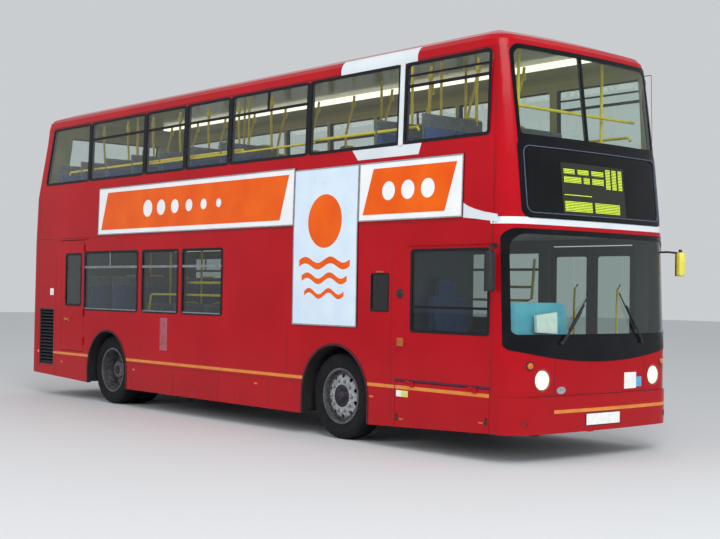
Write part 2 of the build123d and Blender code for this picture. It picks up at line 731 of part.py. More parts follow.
def seat_cushions(upper):
    """Double seats of one deck: padded shells with a rolled front edge and a leaning back."""
    found = []
    for x, floor, y0, y1 in seat_places():
        if (floor == UPPER_FLOOR) == upper:
            shell = side_plate(
                ((x + 4, floor + 352), (x + 425, floor + 372), (x + SEAT_LENGTH, floor + 405),
                 (x + 425, floor + 452), (x + 74, floor + 434), (x - 2, floor + 1060), (x - 30, floor + 1118),
                 (x - 62, floor + 1112), (x - 52, floor + 1000), (x - 4, floor + 440)), y0, y1, 12)
            found.append(off_humps(shell, floor))
    return found


def seat_frames():
    """Pedestal of each double seat: a tapered leg under a tray."""
    found = []
    for x, floor, y0, y1 in seat_places():
        middle = (y0 + y1) / 2
        leg = side_plate(((x + 130, floor), (x + 330, floor), (x + 290, floor + 345), (x + 150, floor + 345)),
                         middle - LEG, middle + LEG)
        tray = side_plate(((x + 25, floor + 326), (x + 404, floor + 344), (x + 404, floor + 371 - SEAT_GAP),
                           (x + 25, floor + 353 - SEAT_GAP)), y0 + LEG, y1 - LEG)
        found.append(off_humps(leg + tray, floor))
    return found


def pole_spots():
    """Upright poles: x, y and floor. One stands at every second seat row, and the rest at doors and stair."""
    aisle = HALF - WALL - SEAT_EDGE - SEAT_WIDTH - RAIL_CLEAR - RAIL_R
    stair = STAIR_Y1 + STAIR_PANEL + 2 * RAIL_R
    spots = []
    for near, off, floor, y in (
        (REAR_ROWS_NEAR, REAR_ROWS_OFF, REAR_FLOOR, aisle), (LOWER_ROWS, LOWER_ROWS, LOW_FLOOR, aisle),
        (UPPER_ROWS_NEAR, UPPER_ROWS_OFF, UPPER_FLOOR, aisle - UPPER_LEAN),
    ):
        spots += [(x + LEG / 2, y, floor) for x in near[::2]]
        spots += [(x + LEG / 2, -y, floor) for x in off[1::2]]
    for x in (EXIT[0] - 50, EXIT[1] + 70, ENTRANCE[0] - 180):
        spots.append((x, DOOR_POLE_Y, LOW_FLOOR))
    spots.append((STAIR_X0 - 70, stair, LOW_FLOOR))
    spots.append((ENTRANCE[0] - 120, CAB_SIDE_Y - 60, LOW_FLOOR))
    spots.append((STAIR_X1 + 40, stair, UPPER_FLOOR))
    return spots


def window_rails():
    """Rail along the upper windows of each side, on stubs from the pillars between them."""
    z = UPPER_SILL + WINDOW_RAIL_RISE
    wall = HALF - WALL - level_at(z + WINDOW_STUB_R, 3) - SEAT_GAP
    found = []
    for side, spans in ((-1, UPPER_BAYS[:5]), (1, UPPER_BAYS)):
        y = side * (wall - WINDOW_RAIL_IN)
        pillars = [(a[1] + b[0]) / 2 for a, b in zip(spans, spans[1:])]
        rail = rod((pillars[0] - WINDOW_RAIL_END, y, z), (pillars[-1] + WINDOW_RAIL_END, y, z), WINDOW_RAIL_R)
        for x in pillars:
            rail = rail + rod((x, y, z), (x, side * wall, z), WINDOW_STUB_R)
        found.append(rail)
    return found


def grab_rails():
    """Poles from floor to ceiling, window rails, and the rail across the front of the upper deck."""
    found = []
    for x, y, floor in pole_spots():
        if floor == UPPER_FLOOR:
            found.append(rod((x, y, floor), (x, y, HEIGHT), RAIL_R) & INNER)
        else:
            found.append(rod((x, y, floor), (x, y, CEILING), RAIL_R))
    x = FRONT_SEAM - 60
    reach = HALF - WALL - UPPER_LEAN - 80
    z = UPPER_FLOOR + HAND_RAIL_RISE
    rail = rod((x, -reach, z), (x, reach, z), RAIL_R)
    for y in (-reach, 0, reach):
        rail = rail + rod((x, y, UPPER_FLOOR), (x, y, z), RAIL_R) + Pos(x, y, z) * Sphere(RAIL_R)
    found.append(rail)
    return found + window_rails()


def ceiling_lights():
    """Two strips of diffusers along each deck's ceiling."""
    found = []
    for y in (-LIGHT_Y, LIGHT_Y):
        y0 = y - LIGHT_WIDTH / 2
        y1 = y + LIGHT_WIDTH / 2
        found.append(block(BULKHEAD_X + 130, STAIR_X0 - 120, y0, y1, CEILING - LIGHT_DEPTH, CEILING))
        strip = block(TAIL + 700, NOSE - 800, y0, y1, EAVE, HEIGHT)
        found.append(strip & (INNER - envelope(WALL + LIGHT_DEPTH)))
    return found


def driver_seat():
    """Driver's seat: sprung pedestal, rolled cushion, and a tall back with a head restraint."""
    x = CAB_REAR_X + 180
    base = block(x, x + 360, DRIVER_Y - 150, DRIVER_Y + 150, CAB_FLOOR, CAB_FLOOR + 330)
    cushion = side_plate(((x - 60, 850), (x + 440, 850), (x + 470, 930), (x + 430, 985), (x - 20, 960)),
                         DRIVER_Y - 240, DRIVER_Y + 240, 18)
    back = side_plate(((x - 60, 900), (x + 40, 940), (x + 30, 1250), (x - 40, 1600), (x - 110, 1600),
                       (x - 90, 1200)), DRIVER_Y - 225, DRIVER_Y + 225, 20)
    rest = side_plate(((x - 108, 1580), (x - 45, 1580), (x - 60, 1790), (x - 118, 1790)),
                      DRIVER_Y - 130, DRIVER_Y + 130, 20)
    return base + cushion + back + rest


def dashboard():
    """Moulded cowl under the windscreen with rounded shoulders, and the instrument desk behind it."""
    x0, x1, top = COWL
    y0, y1 = COWL_Y
    base = LOW_FLOOR + 370
    outline = Plane(origin=(x0, (y0 + y1) / 2, (base + top) / 2), x_dir=(0, 1, 0), z_dir=(1, 0, 0)) \
        * RectangleRounded(y1 - y0, top - base, 110)
    cowl = extrude(outline, x1 - x0, dir=(1, 0, 0))
    desk = side_plate(((x0 - 260, 940), (x0 - 240, 1060), (x0 + 5, 1160), (x0 + 5, base + 40),
                       (x0 - 190, base + 20)), y0 + 40, y1 - 40, 16)
    foot = block(x0 - 220, x0, y0 + 60, y1 - 60, LOW_FLOOR, base + 120)
    return (cowl + desk + foot) & INNER


def steering_wheel():
    """Column and two-spoke wheel, leaning back to the driver."""
    top = Vector(WHEEL_X, DRIVER_Y, WHEEL_Z)
    foot = Vector(COWL[0] - 220, DRIVER_Y, 985)
    plane = Plane(origin=top, z_dir=top - foot)
    section = Plane.XZ * (Pos(WHEEL_R, 0) * RegularPolygon(WHEEL_RIM_R, 8))
    wheel = plane * revolve(section, Axis.Z)
    spokes = plane * (Box(24, 2 * WHEEL_R, 12) + Cylinder(48, 26))
    return wheel + spokes + rod(foot, top, 30) - dashboard()


def cab_screen():
    """Partition beside the driver, the wall behind, and the raised cab floor they stand on."""
    far = -HALF + WALL + 1
    front = ENTRANCE[1] + 40
    side = side_plate(((CAB_REAR_X, LOW_FLOOR), (front, LOW_FLOOR), (front, CAB_SIDE_TOP - 150),
                       (front - 150, CAB_SIDE_TOP), (CAB_REAR_X, CAB_SIDE_TOP)),
                      CAB_SIDE_Y, CAB_SIDE_Y + CAB_WALL)
    wall = block(CAB_REAR_X, CAB_REAR_X + CAB_WALL, far, CAB_SIDE_Y + CAB_WALL, LOW_FLOOR, CEILING)
    floor = block(CAB_REAR_X, front, far, CAB_SIDE_Y + CAB_WALL, LOW_FLOOR, CAB_FLOOR)
    return side + wall + floor


def rail_line():
    """Side view of a chassis rail: low under the platform, over the rear axle, down to the engine."""
    bottom, top = ENGINE_RAIL
    back = REAR_AXLE_X - REAR_ARCH_R
    return (
        (NOSE - 500, RAIL_BOTTOM), (NOSE - 500, RAIL_TOP), (STEP_X - 60, RAIL_TOP),
        (STEP_X - 160, REAR_RAIL_TOP), (back - 175, REAR_RAIL_TOP), (back - 395, top),
        (TAIL + 200, top), (TAIL + 200, bottom),
        (back - 355, bottom), (back - 135, REAR_RAIL_BOTTOM), (STEP_X - 220, REAR_RAIL_BOTTOM),
        (STEP_X - 100, RAIL_BOTTOM),
    )


def towing_eye(root, inwards, z):
    """Plate at a rail's end with an upright hole near its tip; inwards points to the bus's middle."""
    tip = root - inwards * EYE_LENGTH
    half = EYE_PLATE / 2
    plate = block(min(root, tip), max(root, tip), RAIL_Y0, RAIL_Y0 + RAIL_WIDTH, z - half, z + half)
    hole_x = tip + inwards * EYE_EDGE
    middle = RAIL_Y0 + RAIL_WIDTH / 2
    return plate - rod((hole_x, middle, z - EYE_PLATE), (hole_x, middle, z + EYE_PLATE), EYE_R)


def chassis_rails():
    """The pair of rails, each with its towing eyes and a pad for the workshop jack."""
    x, length, depth = JACK_PAD
    rail = side_plate(rail_line(), RAIL_Y0, RAIL_Y0 + RAIL_WIDTH)
    rail = rail + towing_eye(NOSE - 500, -1, (RAIL_BOTTOM + RAIL_TOP) / 2)
    rail = rail + towing_eye(TAIL + 200, 1, sum(ENGINE_RAIL) / 2)
    x0 = x - length / 2
    pad = block(x0, x0 + length, RAIL_Y0, RAIL_Y0 + RAIL_WIDTH, RAIL_BOTTOM - depth, RAIL_BOTTOM)
    rail = rail + pad
    return [rail, mirrored(rail)]


def chassis_members():
    """Crossmembers between the rails, and tapered outriggers from the rails to the body sides."""
    outer = RAIL_Y0 + RAIL_WIDTH
    reach = HALF - 70
    bottom, top = ENGINE_RAIL
    front_arch = FRONT_AXLE_X + FRONT_ARCH_R
    rear_arch = FRONT_AXLE_X - FRONT_ARCH_R
    found = []
    # Columns: place, bottom, top.
    for x, z0, z1 in (
        (NOSE - 700, RAIL_BOTTOM + 15, RAIL_TOP), (front_arch + 178, RAIL_BOTTOM + 15, RAIL_TOP),
        (rear_arch - 302, RAIL_BOTTOM + 15, RAIL_TOP), (STAIR_X0 - 100, RAIL_BOTTOM + 15, RAIL_TOP),
        (STEP_X + 1000, RAIL_BOTTOM + 15, RAIL_TOP), (STEP_X + 100, RAIL_BOTTOM + 15, RAIL_TOP),
        (TAIL + 1200, bottom, top - 20), (TAIL + 280, bottom, top - 20),
    ):
        found.append(block(x - MEMBER_HALF, x + MEMBER_HALF, -RAIL_Y0, RAIL_Y0, z0, z1))
        outline = make_face(Polyline((x, outer, z0), (x, reach, z1 - 30), (x, reach, z1), (x, outer, z1),
                                     close=True)).face()
        arm = Pos(-MEMBER_HALF, 0, 0) * extrude(outline, 2 * MEMBER_HALF, dir=(1, 0, 0))
        found += [arm, mirrored(arm)]
    return found


def front_axle():
    """Dropped beam with an upright boss at each end for the kingpin, and a pad under each rail."""
    y = KINGPIN_Y
    line = ((0, 130), (y - 330, 130), (y - 170, 400), (y, TYRE_R - BEAM_HALF), (y, TYRE_R + BEAM_HALF),
            (y - 200, 470), (y - 360, 195), (0, 195))
    outline = make_face(Polyline(*[(0, y, z) for y, z in line], close=True)).face()
    half = Pos(FRONT_AXLE_X - BEAM_HALF, 0, 0) * extrude(outline, 2 * BEAM_HALF, dir=(1, 0, 0))
    boss = Pos(FRONT_AXLE_X, KINGPIN_Y, TYRE_R) * Cylinder(BEAM_HALF, 2 * BOSS_HALF)
    x0 = FRONT_AXLE_X - BEAM_HALF
    x1 = FRONT_AXLE_X + BEAM_HALF
    pad = block(x0, x1, RAIL_Y0, RAIL_Y0 + RAIL_WIDTH, 190, RAIL_BOTTOM)
    arm = half + boss + pad
    return arm + mirrored(arm)


def knuckle():
    """Stub axle: two lugs over and under the beam's boss, a web, and the hub's flange."""
    x = FRONT_AXLE_X
    lug = BOSS_HALF + SEAT_GAP
    back = HUB_FACE_Y - 20
    parts = []
    for sign in (-1, 1):
        z0, z1 = sorted((TYRE_R + sign * lug, TYRE_R + sign * (lug + LUG)))
        eye = Pos(x, KINGPIN_Y, (z0 + z1) / 2) * Cylinder(BEAM_HALF, z1 - z0)
        parts.append(eye + block(x - BEAM_HALF, x + BEAM_HALF, KINGPIN_Y, back, z0, z1))
    web = block(x - BEAM_HALF, x + BEAM_HALF, KINGPIN_Y + 52, back, TYRE_R - lug - LUG, TYRE_R + lug + LUG)
    flange = rod((x, back - 5, TYRE_R), (x, HUB_FACE_Y - SEAT_GAP, TYRE_R), FLANGE_R)
    return fuse(parts + [web, flange])


def rear_axle():
    """Banjo casing with its pinion nose, and an air spring under each chassis rail."""
    x = REAR_AXLE_X
    rail_y = RAIL_Y0 + RAIL_WIDTH / 2
    end = TRACK_HALF - TWIN_SPACING + CASING_R - SEAT_GAP
    tube_half = rod((x, 0, TYRE_R), (x, end, TYRE_R), CASING_R)
    spring = rod((x, rail_y, TYRE_R), (x, rail_y, REAR_RAIL_BOTTOM), CASING_R - 5)
    half = tube_half + spring
    bowl = Pos(x, 0, TYRE_R) * Rot(90, 0, 0) * Cylinder(BOWL_R, 190)
    nose = rod((x, 0, TYRE_R), (x - BOWL_R - 90, 0, TYRE_R), 70)
    return half + mirrored(half) + bowl + nose


def propeller_shaft():
    """Shaft from the engine to the axle's pinion, with a flange at each end."""
    x0 = ENGINE[1]
    x1 = REAR_AXLE_X - BOWL_R - 90
    shaft = rod((x0, 0, TYRE_R), (x1, 0, TYRE_R), SHAFT_R)
    for x in (x0, x1 - DISC):
        shaft = shaft + rod((x, 0, TYRE_R), (x + DISC, 0, TYRE_R), SHAFT_R + 25)
    return shaft


def ring(profile):
    """Solid turned about the wheel's axis from (radius, y) points."""
    face = make_face(Polyline(*[(r, y) for r, y in profile], close=True)).face()
    return revolve(face, Axis.Y)


def tyre():
    w = TYRE_WIDTH / 2
    return ring((
        (RIM_R, -w + RIM_EDGE), (TYRE_R - 100, -w), (TYRE_R - 8, -w + 38), (TYRE_R, -w + 60),
        (TYRE_R, w - 60), (TYRE_R - 8, w - 38), (TYRE_R - 100, w), (RIM_R, w - RIM_EDGE),
    ))


def rim(flat_y, edge_y):
    """Rim and disc; the disc's flat middle is at one y and its edge meets the barrel at another."""
    w = TYRE_WIDTH / 2 - RIM_EDGE
    inner = RIM_R - RIM_WALL
    seat = RIM_R - TYRE_SEAT
    lip = seat + 10
    barrel = ring(((inner, -w - 8), (lip, -w - 8), (lip, -w - 4), (seat, -w - 4), (seat, w + 4), (lip, w + 4),
                   (lip, w + 8), (inner, w + 8)))
    step = HAND_HOLE_CIRCLE - HAND_HOLE_R - 20
    disc = ring(((0, flat_y - DISC), (step, flat_y - DISC), (inner + 2, edge_y - DISC), (inner + 2, edge_y),
                 (step, flat_y), (0, flat_y)))
    for i in range(STUD_HOLES):
        angle = radians(360 / STUD_HOLES * i)
        x = HAND_HOLE_CIRCLE * sin(angle)
        z = HAND_HOLE_CIRCLE * cos(angle)
        disc = disc - rod((x, -TYRE_WIDTH, z), (x, TYRE_WIDTH, z), HAND_HOLE_R)
    return barrel + disc


def front_wheel(side):
    """Tyre and rim of a steered wheel, its disc standing out with the hub."""
    at = Pos(FRONT_AXLE_X, TRACK_HALF, TYRE_R)
    rubber = at * tyre()
    hub = ring(((0, HUB_FACE_Y - TRACK_HALF), (110, HUB_FACE_Y - TRACK_HALF), (110, 104), (84, 112),
                (78, 128), (0, 132)))
    steel = at * (rim(104, 56) + hub)
    if side < 0:
        return mirrored(rubber), mirrored(steel)
    return rubber, steel


def rear_wheel(side):
    """Twin tyres and rims on one hub."""
    inner_y = TRACK_HALF - TWIN_SPACING
    outer_at = Pos(REAR_AXLE_X, TRACK_HALF, TYRE_R)
    inner_at = Pos(REAR_AXLE_X, inner_y, TYRE_R)
    rubber = [outer_at * tyre(), inner_at * tyre()]
    meet = TWIN_SPACING / 2
    disc = rim(meet, meet - 48)
    hub = outer_at * ring(((0, CASING_R - TWIN_SPACING), (FLANGE_R, CASING_R - TWIN_SPACING), (FLANGE_R, 30),
                           (96, 44), (0, 48)))
    steel = outer_at * mirrored(disc) + inner_at * disc + hub
    if side < 0:
        return [mirrored(piece) for piece in rubber], mirrored(steel)
    return rubber, steel


def emergency_door():
    """Emergency exit on the offside: leaf with its barrels, and its pane."""
    x0, x1, z0, z1 = EMERGENCY
    gap = HINGE_GAP
    y0, y1 = side_range(-1)
    wall_y = -HALF
    left = x0 + 140
    right = x1 - 100
    leaf = SHELL & block(x0 + gap, x1 - gap, y0, y1, z0 + gap, z1 - gap)
    leaf = leaf - side_prism(left, right, EMERGENCY_SILL, EMERGENCY_HEAD, y0, y1)
    pane = GLAZING & side_prism(left + PANE_GAP, right - PANE_GAP, EMERGENCY_SILL + PANE_GAP,
                                EMERGENCY_HEAD - PANE_GAP, y0, y1, WINDOW_RADIUS - PANE_GAP)
    axis_x = x1 - gap / 2
    axis_y = wall_y - HINGE_PROUD
    for z in EMERGENCY_HINGES:
        top = z + HINGE_LENGTH
        barrel = rod((axis_x, axis_y, z), (axis_x, axis_y, top), BARREL_R)
        strap = block(x1 - HINGE_LENGTH, axis_x, axis_y, axis_y + STRAP, z, top)
        foot = block(x1 - HINGE_LENGTH, x1 - gap - BARREL_R, axis_y, wall_y + 1, z, top)
        leaf = leaf + barrel + strap + foot
    return [leaf, pane]


def emergency_hinge_pins():
    """The wall's half of the emergency door's hinges."""
    x1 = EMERGENCY[1]
    axis_x = x1 - HINGE_GAP / 2
    axis_y = -HALF - HINGE_PROUD
    pins = []
    for z in EMERGENCY_HINGES:
        z0 = z - PIN_LENGTH
        z1 = z - SEAT_GAP
        pin = rod((axis_x, axis_y, z0), (axis_x, axis_y, z1), BARREL_R)
        strap = block(axis_x, x1 + STRAP_REACH, axis_y, axis_y + STRAP, z0, z1)
        foot = block(x1 + 2, x1 + STRAP_REACH, axis_y, -HALF + 1, z0, z1)
        pins.append(pin + strap + foot)
    return pins


def flap_axis():
    """Place of the offside flap's hinge line, off the wall and level with the gap."""
    return -HALF - HINGE_PROUD, FLAP[2] - HINGE_GAP / 2


def offside_flap():
    """Service flap in the skirt ahead of the front wheel, hung at its top edge."""
    x0, x1, top = FLAP
    edge = top - HINGE_GAP
    flap = block(x0 + HINGE_GAP, x1 - HINGE_GAP, -HALF, -HALF + FLAP_THICKNESS, 0, edge) - UNDER
    axis_y, axis_z = flap_axis()
    low = axis_z - PIN_LENGTH
    for x in FLAP_HINGES:
        end = x + HINGE_LENGTH
        barrel = rod((x, axis_y, axis_z), (end, axis_y, axis_z), BARREL_R)
        strap = block(x, end, axis_y, axis_y + STRAP, low, axis_z)
        foot = block(x, end, axis_y, -HALF + 1, low, edge - BARREL_R)
        flap = flap + barrel + strap + foot
    return flap


def flap_hinge_pins():
    """The wall's half of the flap's hinges."""
    axis_y, axis_z = flap_axis()
    top = FLAP[2] + STRAP_REACH
    pins = []
    for x in FLAP_HINGES:
        x0 = x - PIN_LENGTH
        x1 = x - SEAT_GAP
        pin = rod((x0, axis_y, axis_z), (x1, axis_y, axis_z), BARREL_R)
        strap = block(x0, x1, axis_y, axis_y + STRAP, axis_z, top)
        foot = block(x0, x1, axis_y, -HALF + 1, FLAP[2] + 2, top)
        pins.append(pin + strap + foot)
    return pins


def door_leaf(doorway, front):
    """One leaf of a passenger door: framed glass on an upright post that turns in the floor."""
    x0, x1, z0, z1 = doorway
    middle = (x0 + x1) / 2
    post_x = x1 - LEAF_POST_IN if front else x0 + LEAF_POST_IN
    near = post_x + (LEAF_POST_R if front else -LEAF_POST_R)
    far = middle + (HINGE_GAP / 2 if front else -HINGE_GAP / 2)
    a, b = sorted((near, far))
    y1 = HALF - LEAF_INSET
    y0 = y1 - LEAF
    middle_y = (y0 + y1) / 2
    leaf = block(a, b, y0, y1, z0 + 2 * HINGE_GAP, z1 - 2 * HINGE_GAP)
    a += LEAF_BORDER
    b -= LEAF_BORDER
    low = z0 + LEAF_BOTTOM
    high = z1 - LEAF_TOP
    radius = 40
    leaf = leaf - side_prism(a, b, low, high, y0 - 10, y1 + 10, radius)
    pane = side_prism(a + PANE_GAP, b - PANE_GAP, low + PANE_GAP, high - PANE_GAP,
                      middle_y - GLASS / 2, middle_y + GLASS / 2, radius - PANE_GAP)
    post = rod((post_x, middle_y, z0 + SEAT_GAP), (post_x, middle_y, z1 - SEAT_GAP), LEAF_POST_R)
    return [leaf + post, pane]


def advert_boards():
    """Flat display panels screwed to the offside, a little proud of it."""
    skin = envelope(-BOARD) - OUTER
    y0, y1 = side_range(-1)
    return [skin & block(x0, x1, y0, y1, z0, z1) for x0, x1, z0, z1 in BOARDS]


def mirrors():
    """Arm and rounded head of both outside mirrors, equally far out."""
    depth, width, height = MIRROR
    outer = HALF + MIRROR_SPAN
    found = []
    for side in (-1, 1):
        head = Box(depth, width, height)
        head = fillet(head.edges(), MIRROR_ROUND)
        head = Pos(MIRROR_X, side * (outer - width / 2), MIRROR_TOP - height / 2) * head
        elbow = (MIRROR_X + 10, side * (HALF + 25), MIRROR_TOP + 15)
        arm = rod((MIRROR_X - 100, side * (HALF - 60), MIRROR_TOP + 35), elbow, 12)
        arm = arm + Pos(*elbow) * Sphere(12)
        arm = arm + rod(elbow, (MIRROR_X, side * (outer - width / 2), MIRROR_TOP - 30), 12)
        found.append((arm - OUTER) + head)
    return found


def wipers():
    """Spindle, arm and blade of each windscreen wiper."""
    found = []
    for base_y, tip_y in WIPERS:
        base_x = nose_x(base_y, WIPER_BASE)
        tip_x = nose_x(tip_y, WIPER_TIP)
        base = Vector(base_x, base_y, WIPER_BASE)
        reach = Vector(tip_x, tip_y, WIPER_TIP) - base
        spindle = rod(base - Vector(30, 0, 0), base + Vector(16, 0, 0), 2 * ARM_R)
        arm = rod(base + Vector(9, 0, 0), base + reach * 0.6 + Vector(9, 0, 0), ARM_R)
        blade = rod(base + reach * 0.25 + Vector(3, 0, 0), base + reach + Vector(3, 0, 0), ARM_R - 1)
        found.append((spindle + arm + blade) - GLAZED)
    return found


def front_lamps(fit=0):
    """Headlamp and indicator of each side, or the sockets they sit in."""
    found = []
    for y, z, radius in (HEADLAMP, INDICATOR):
        x = nose_x(y, z)
        if y > HALF - FRONT_CORNER:
            x -= LAMP_DEPTH / 2
        reach = LAMP_DEPTH * 5 if fit else LENS_PROUD
        found.append(rod((x - LAMP_DEPTH, y, z), (x + reach, y, z), radius + fit))
    return both_sides(found)


def rear_lamps(fit=0):
    """Round tail, brake and turn lamps, one over the other, or their sockets."""
    found = []
    for y, z, radius in TAIL_LAMPS:
        x = tail_x(y, z)
        reach = LAMP_DEPTH * 5 if fit else LENS_PROUD
        found.append(rod((x + LAMP_DEPTH, y, z), (x - reach, y, z), radius + fit))
    return both_sides(found)


def engine_grille():
    """Radiator grille on the offside: a frame with slats that slope down to the outside."""
    x0, x1, z0, z1 = GRILLE
    y0 = -HALF + 4
    y1 = y0 + GRILLE_DEPTH
    frame = block(x0, x1, y0, y1, z0, z1) - block(x0 + GRILLE_FRAME, x1 - GRILLE_FRAME, y0 - 1, y1 + 1,
                                                 z0 + GRILLE_FRAME, z1 - GRILLE_FRAME)
    slats = int((z1 - z0 - 2 * GRILLE_FRAME) // GRILLE_PITCH)
    for i in range(slats):
        z = z0 + GRILLE_FRAME + GRILLE_PITCH * (i + 0.5)
        outline = make_face(Polyline((0, y0 + 4, z - 12), (0, y1 - 4, z + 12), (0, y1 - 4, z + 12 + SLAT),
                                     (0, y0 + 4, z - 12 + SLAT), close=True)).face()
        length = x1 - x0 - 2 * GRILLE_FRAME + 2
        frame = frame + Pos(x0 + GRILLE_FRAME - 1, 0, 0) * extrude(outline, length, dir=(1, 0, 0))
    return frame


def engine_block():
    """Engine and gearbox as one plain block between the rear rails, bolted down on them."""
    x0, x1, half, height = ENGINE
    top = ENGINE_RAIL[1]
    return block(x0, x1, -half, half, top, top + height)


def save(name, shapes):
    """Write one sub-part as a STEP file named after it."""
    solids = []
    for shape in shapes if isinstance(shapes, (list, tuple)) else [shapes]:
        solids += shape.solids()
    body = solids[0] if len(solids) == 1 else Compound(label=name, children=solids)
    body.label = name
    export_step(body, "parts/" + name + ".step")


def main():
    os.makedirs("parts", exist_ok=True)
    parts = {
        "destination_box": destination_box(),
        "roof": roof(),
        "wheel_housings": wheel_housings(),
        "lower_floor": lower_floor(),
        "upper_floor": upper_floor(),
        "staircase": staircase(),
        "lower_seats": seat_cushions(False),
        "upper_seats": seat_cushions(True),
        "seat_frames": seat_frames(),
        "grab_rails": grab_rails(),
        "ceiling_lights": ceiling_lights(),
        "driver_seat": driver_seat(),
        "dashboard": dashboard(),
        "steering_wheel": steering_wheel(),
        "cab_screen": cab_screen(),
        "chassis_rails": chassis_rails(),
        "chassis_members": chassis_members(),
        "front_axle_beam": front_axle(),
        "rear_axle_casing": rear_axle(),
        "propeller_shaft": propeller_shaft(),
        "engine_block": engine_block(),
        "engine_cover": engine_cover(),
        "engine_grille": engine_grille(),
        "emergency_door": emergency_door(),
        "offside_flap": offside_flap(),
        "advert_boards": advert_boards(),
        "mirrors": mirrors(),
        "wipers": wipers(),
        "lamps": front_lamps() + rear_lamps(),
        "entrance_front_leaf": door_leaf(ENTRANCE, True),
        "entrance_rear_leaf": door_leaf(ENTRANCE, False),
        "exit_front_leaf": door_leaf(EXIT, True),
        "exit_rear_leaf": door_leaf(EXIT, False),
    }
    for group in (side_walls(), side_glass(), front_panels(), rear_panels()):
        parts.update(group)
    for side, name in ((-1, "offside"), (1, "nearside")):
        parts["front_" + name + "_tyre"], parts["front_" + name + "_rim"] = front_wheel(side)
        parts["rear_" + name + "_tyres"], parts["rear_" + name + "_rims"] = rear_wheel(side)
        parts[name + "_knuckle"] = mirrored(knuckle()) if side < 0 else knuckle()
    for name, shapes in parts.items():
        save(name, shapes)


main()
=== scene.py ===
from math import asin, atan2, cos, hypot, pi, radians, sin, sqrt, tan

import bmesh
import bpy
from mathutils import Matrix, Vector


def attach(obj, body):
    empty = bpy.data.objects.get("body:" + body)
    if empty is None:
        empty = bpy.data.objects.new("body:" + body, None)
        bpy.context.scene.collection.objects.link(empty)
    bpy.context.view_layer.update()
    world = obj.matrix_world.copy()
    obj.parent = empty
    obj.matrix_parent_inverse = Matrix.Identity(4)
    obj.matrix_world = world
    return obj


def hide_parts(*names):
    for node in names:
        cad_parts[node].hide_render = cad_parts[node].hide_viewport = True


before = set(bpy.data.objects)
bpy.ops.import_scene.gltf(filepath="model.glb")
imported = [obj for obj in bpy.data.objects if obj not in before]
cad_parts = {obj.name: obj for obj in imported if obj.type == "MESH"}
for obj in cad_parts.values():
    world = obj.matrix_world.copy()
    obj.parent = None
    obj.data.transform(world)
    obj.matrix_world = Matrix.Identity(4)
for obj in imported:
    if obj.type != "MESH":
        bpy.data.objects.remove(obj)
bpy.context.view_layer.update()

# Body shell, in metres: X forward, Y to the nearside, Z up from the road.
LENGTH, WIDTH, HEIGHT, WALL = 10.2, 2.52, 4.3, 0.055
FRONT_BOW, REAR_BOW = 0.07, 0.04
FRONT_CORNER, REAR_CORNER, ROOF_CORNER = 0.3, 0.12, 0.17
EAVE = 4.05
# Columns: height, nose setback, tail setback, lean of each side.
SHELL_LEVELS = (
    (0.18, 0.020, 0.0, 0.0),
    (1.10, 0.015, 0.0, 0.0),
    (2.30, 0.065, 0.015, 0.0),
    (3.00, 0.135, 0.030, 0.017),
    (3.82, 0.242, 0.260, 0.042),
    (EAVE, 0.272, 0.300, 0.050),
)
FRONT_SEAM, REAR_SEAM, DECK_SEAM = 4.74, -4.85, 2.36

# Openings, as in the frame. Columns of the bays: rear edge, front edge.
UPPER_SILL, UPPER_HEAD = 3.20, 4.01
UPPER_BAYS = ((-3.32, -1.84), (-1.78, -0.82), (-0.76, 0.19), (0.25, 1.77), (1.83, 3.33), (3.44, 4.64))
UPPER_REAR_BAY = (-4.69, -4.49, -3.38)
LOWER_SILL, LOWER_HEAD = 1.33, 2.135
OFFSIDE_BAYS = ((-3.38, -1.90), (-1.76, -0.88), (-0.756, 0.138))
NEARSIDE_BAYS = ((-4.64, -3.44), (-3.38, -1.90), (-1.76, -0.88), (-0.756, 0.12), (1.62, 3.15))
DRIVER_WINDOW = (3.60, 4.70, 1.24, 2.07)
VENT_WINDOW = (2.97, 3.25, 1.435, 1.83)
DOORWAYS = ((3.30, 4.56), (0.25, 1.45))
# Columns of the end openings: half width, bottom, top.
LOWER_SCREEN = (1.195, 1.02, 2.24)
DESTINATION = (1.056, 2.40, 3.105)
UPPER_SCREEN = (1.05, 3.168, 4.05)
REAR_WINDOW = (0.78, 3.25, 3.96)
WINDOW_RADIUS = 0.03
VENT_BAR, LOWER_VENT_BAR = 3.78, 1.93
FRONT_AXLE_X, REAR_AXLE_X, TYRE_R = 2.362, -2.705, 0.478
ARCHES = ((FRONT_AXLE_X, 0.56), (REAR_AXLE_X, 0.54))
LIP_REACH = 0.03
TRACK_HALF, TWIN_SPACING = 1.035, 0.31
# How far a film stands out from its surface, how deep it reaches, and how far the bumper stands out from the nose
FILM, FILM_DEPTH, BUMPER_STEP = 0.0012, 0.003, 0.016
SIDES = ((-1, "offside"), (1, "nearside"))


def level(z, column):
    """One column of the shell's level table, read at any height."""
    z = min(max(z, SHELL_LEVELS[0][0]), EAVE)
    low, high = next(pair for pair in zip(SHELL_LEVELS, SHELL_LEVELS[1:]) if z <= pair[1][0])
    return low[column] + (z - low[0]) / (high[0] - low[0]) * (high[column] - low[column])


def roof_turn(z):
    """Angle that the roof's corner has turned by at one height; none below the eave."""
    return asin(max(0.0, min((z - EAVE) / ROOF_CORNER, 1.0)))


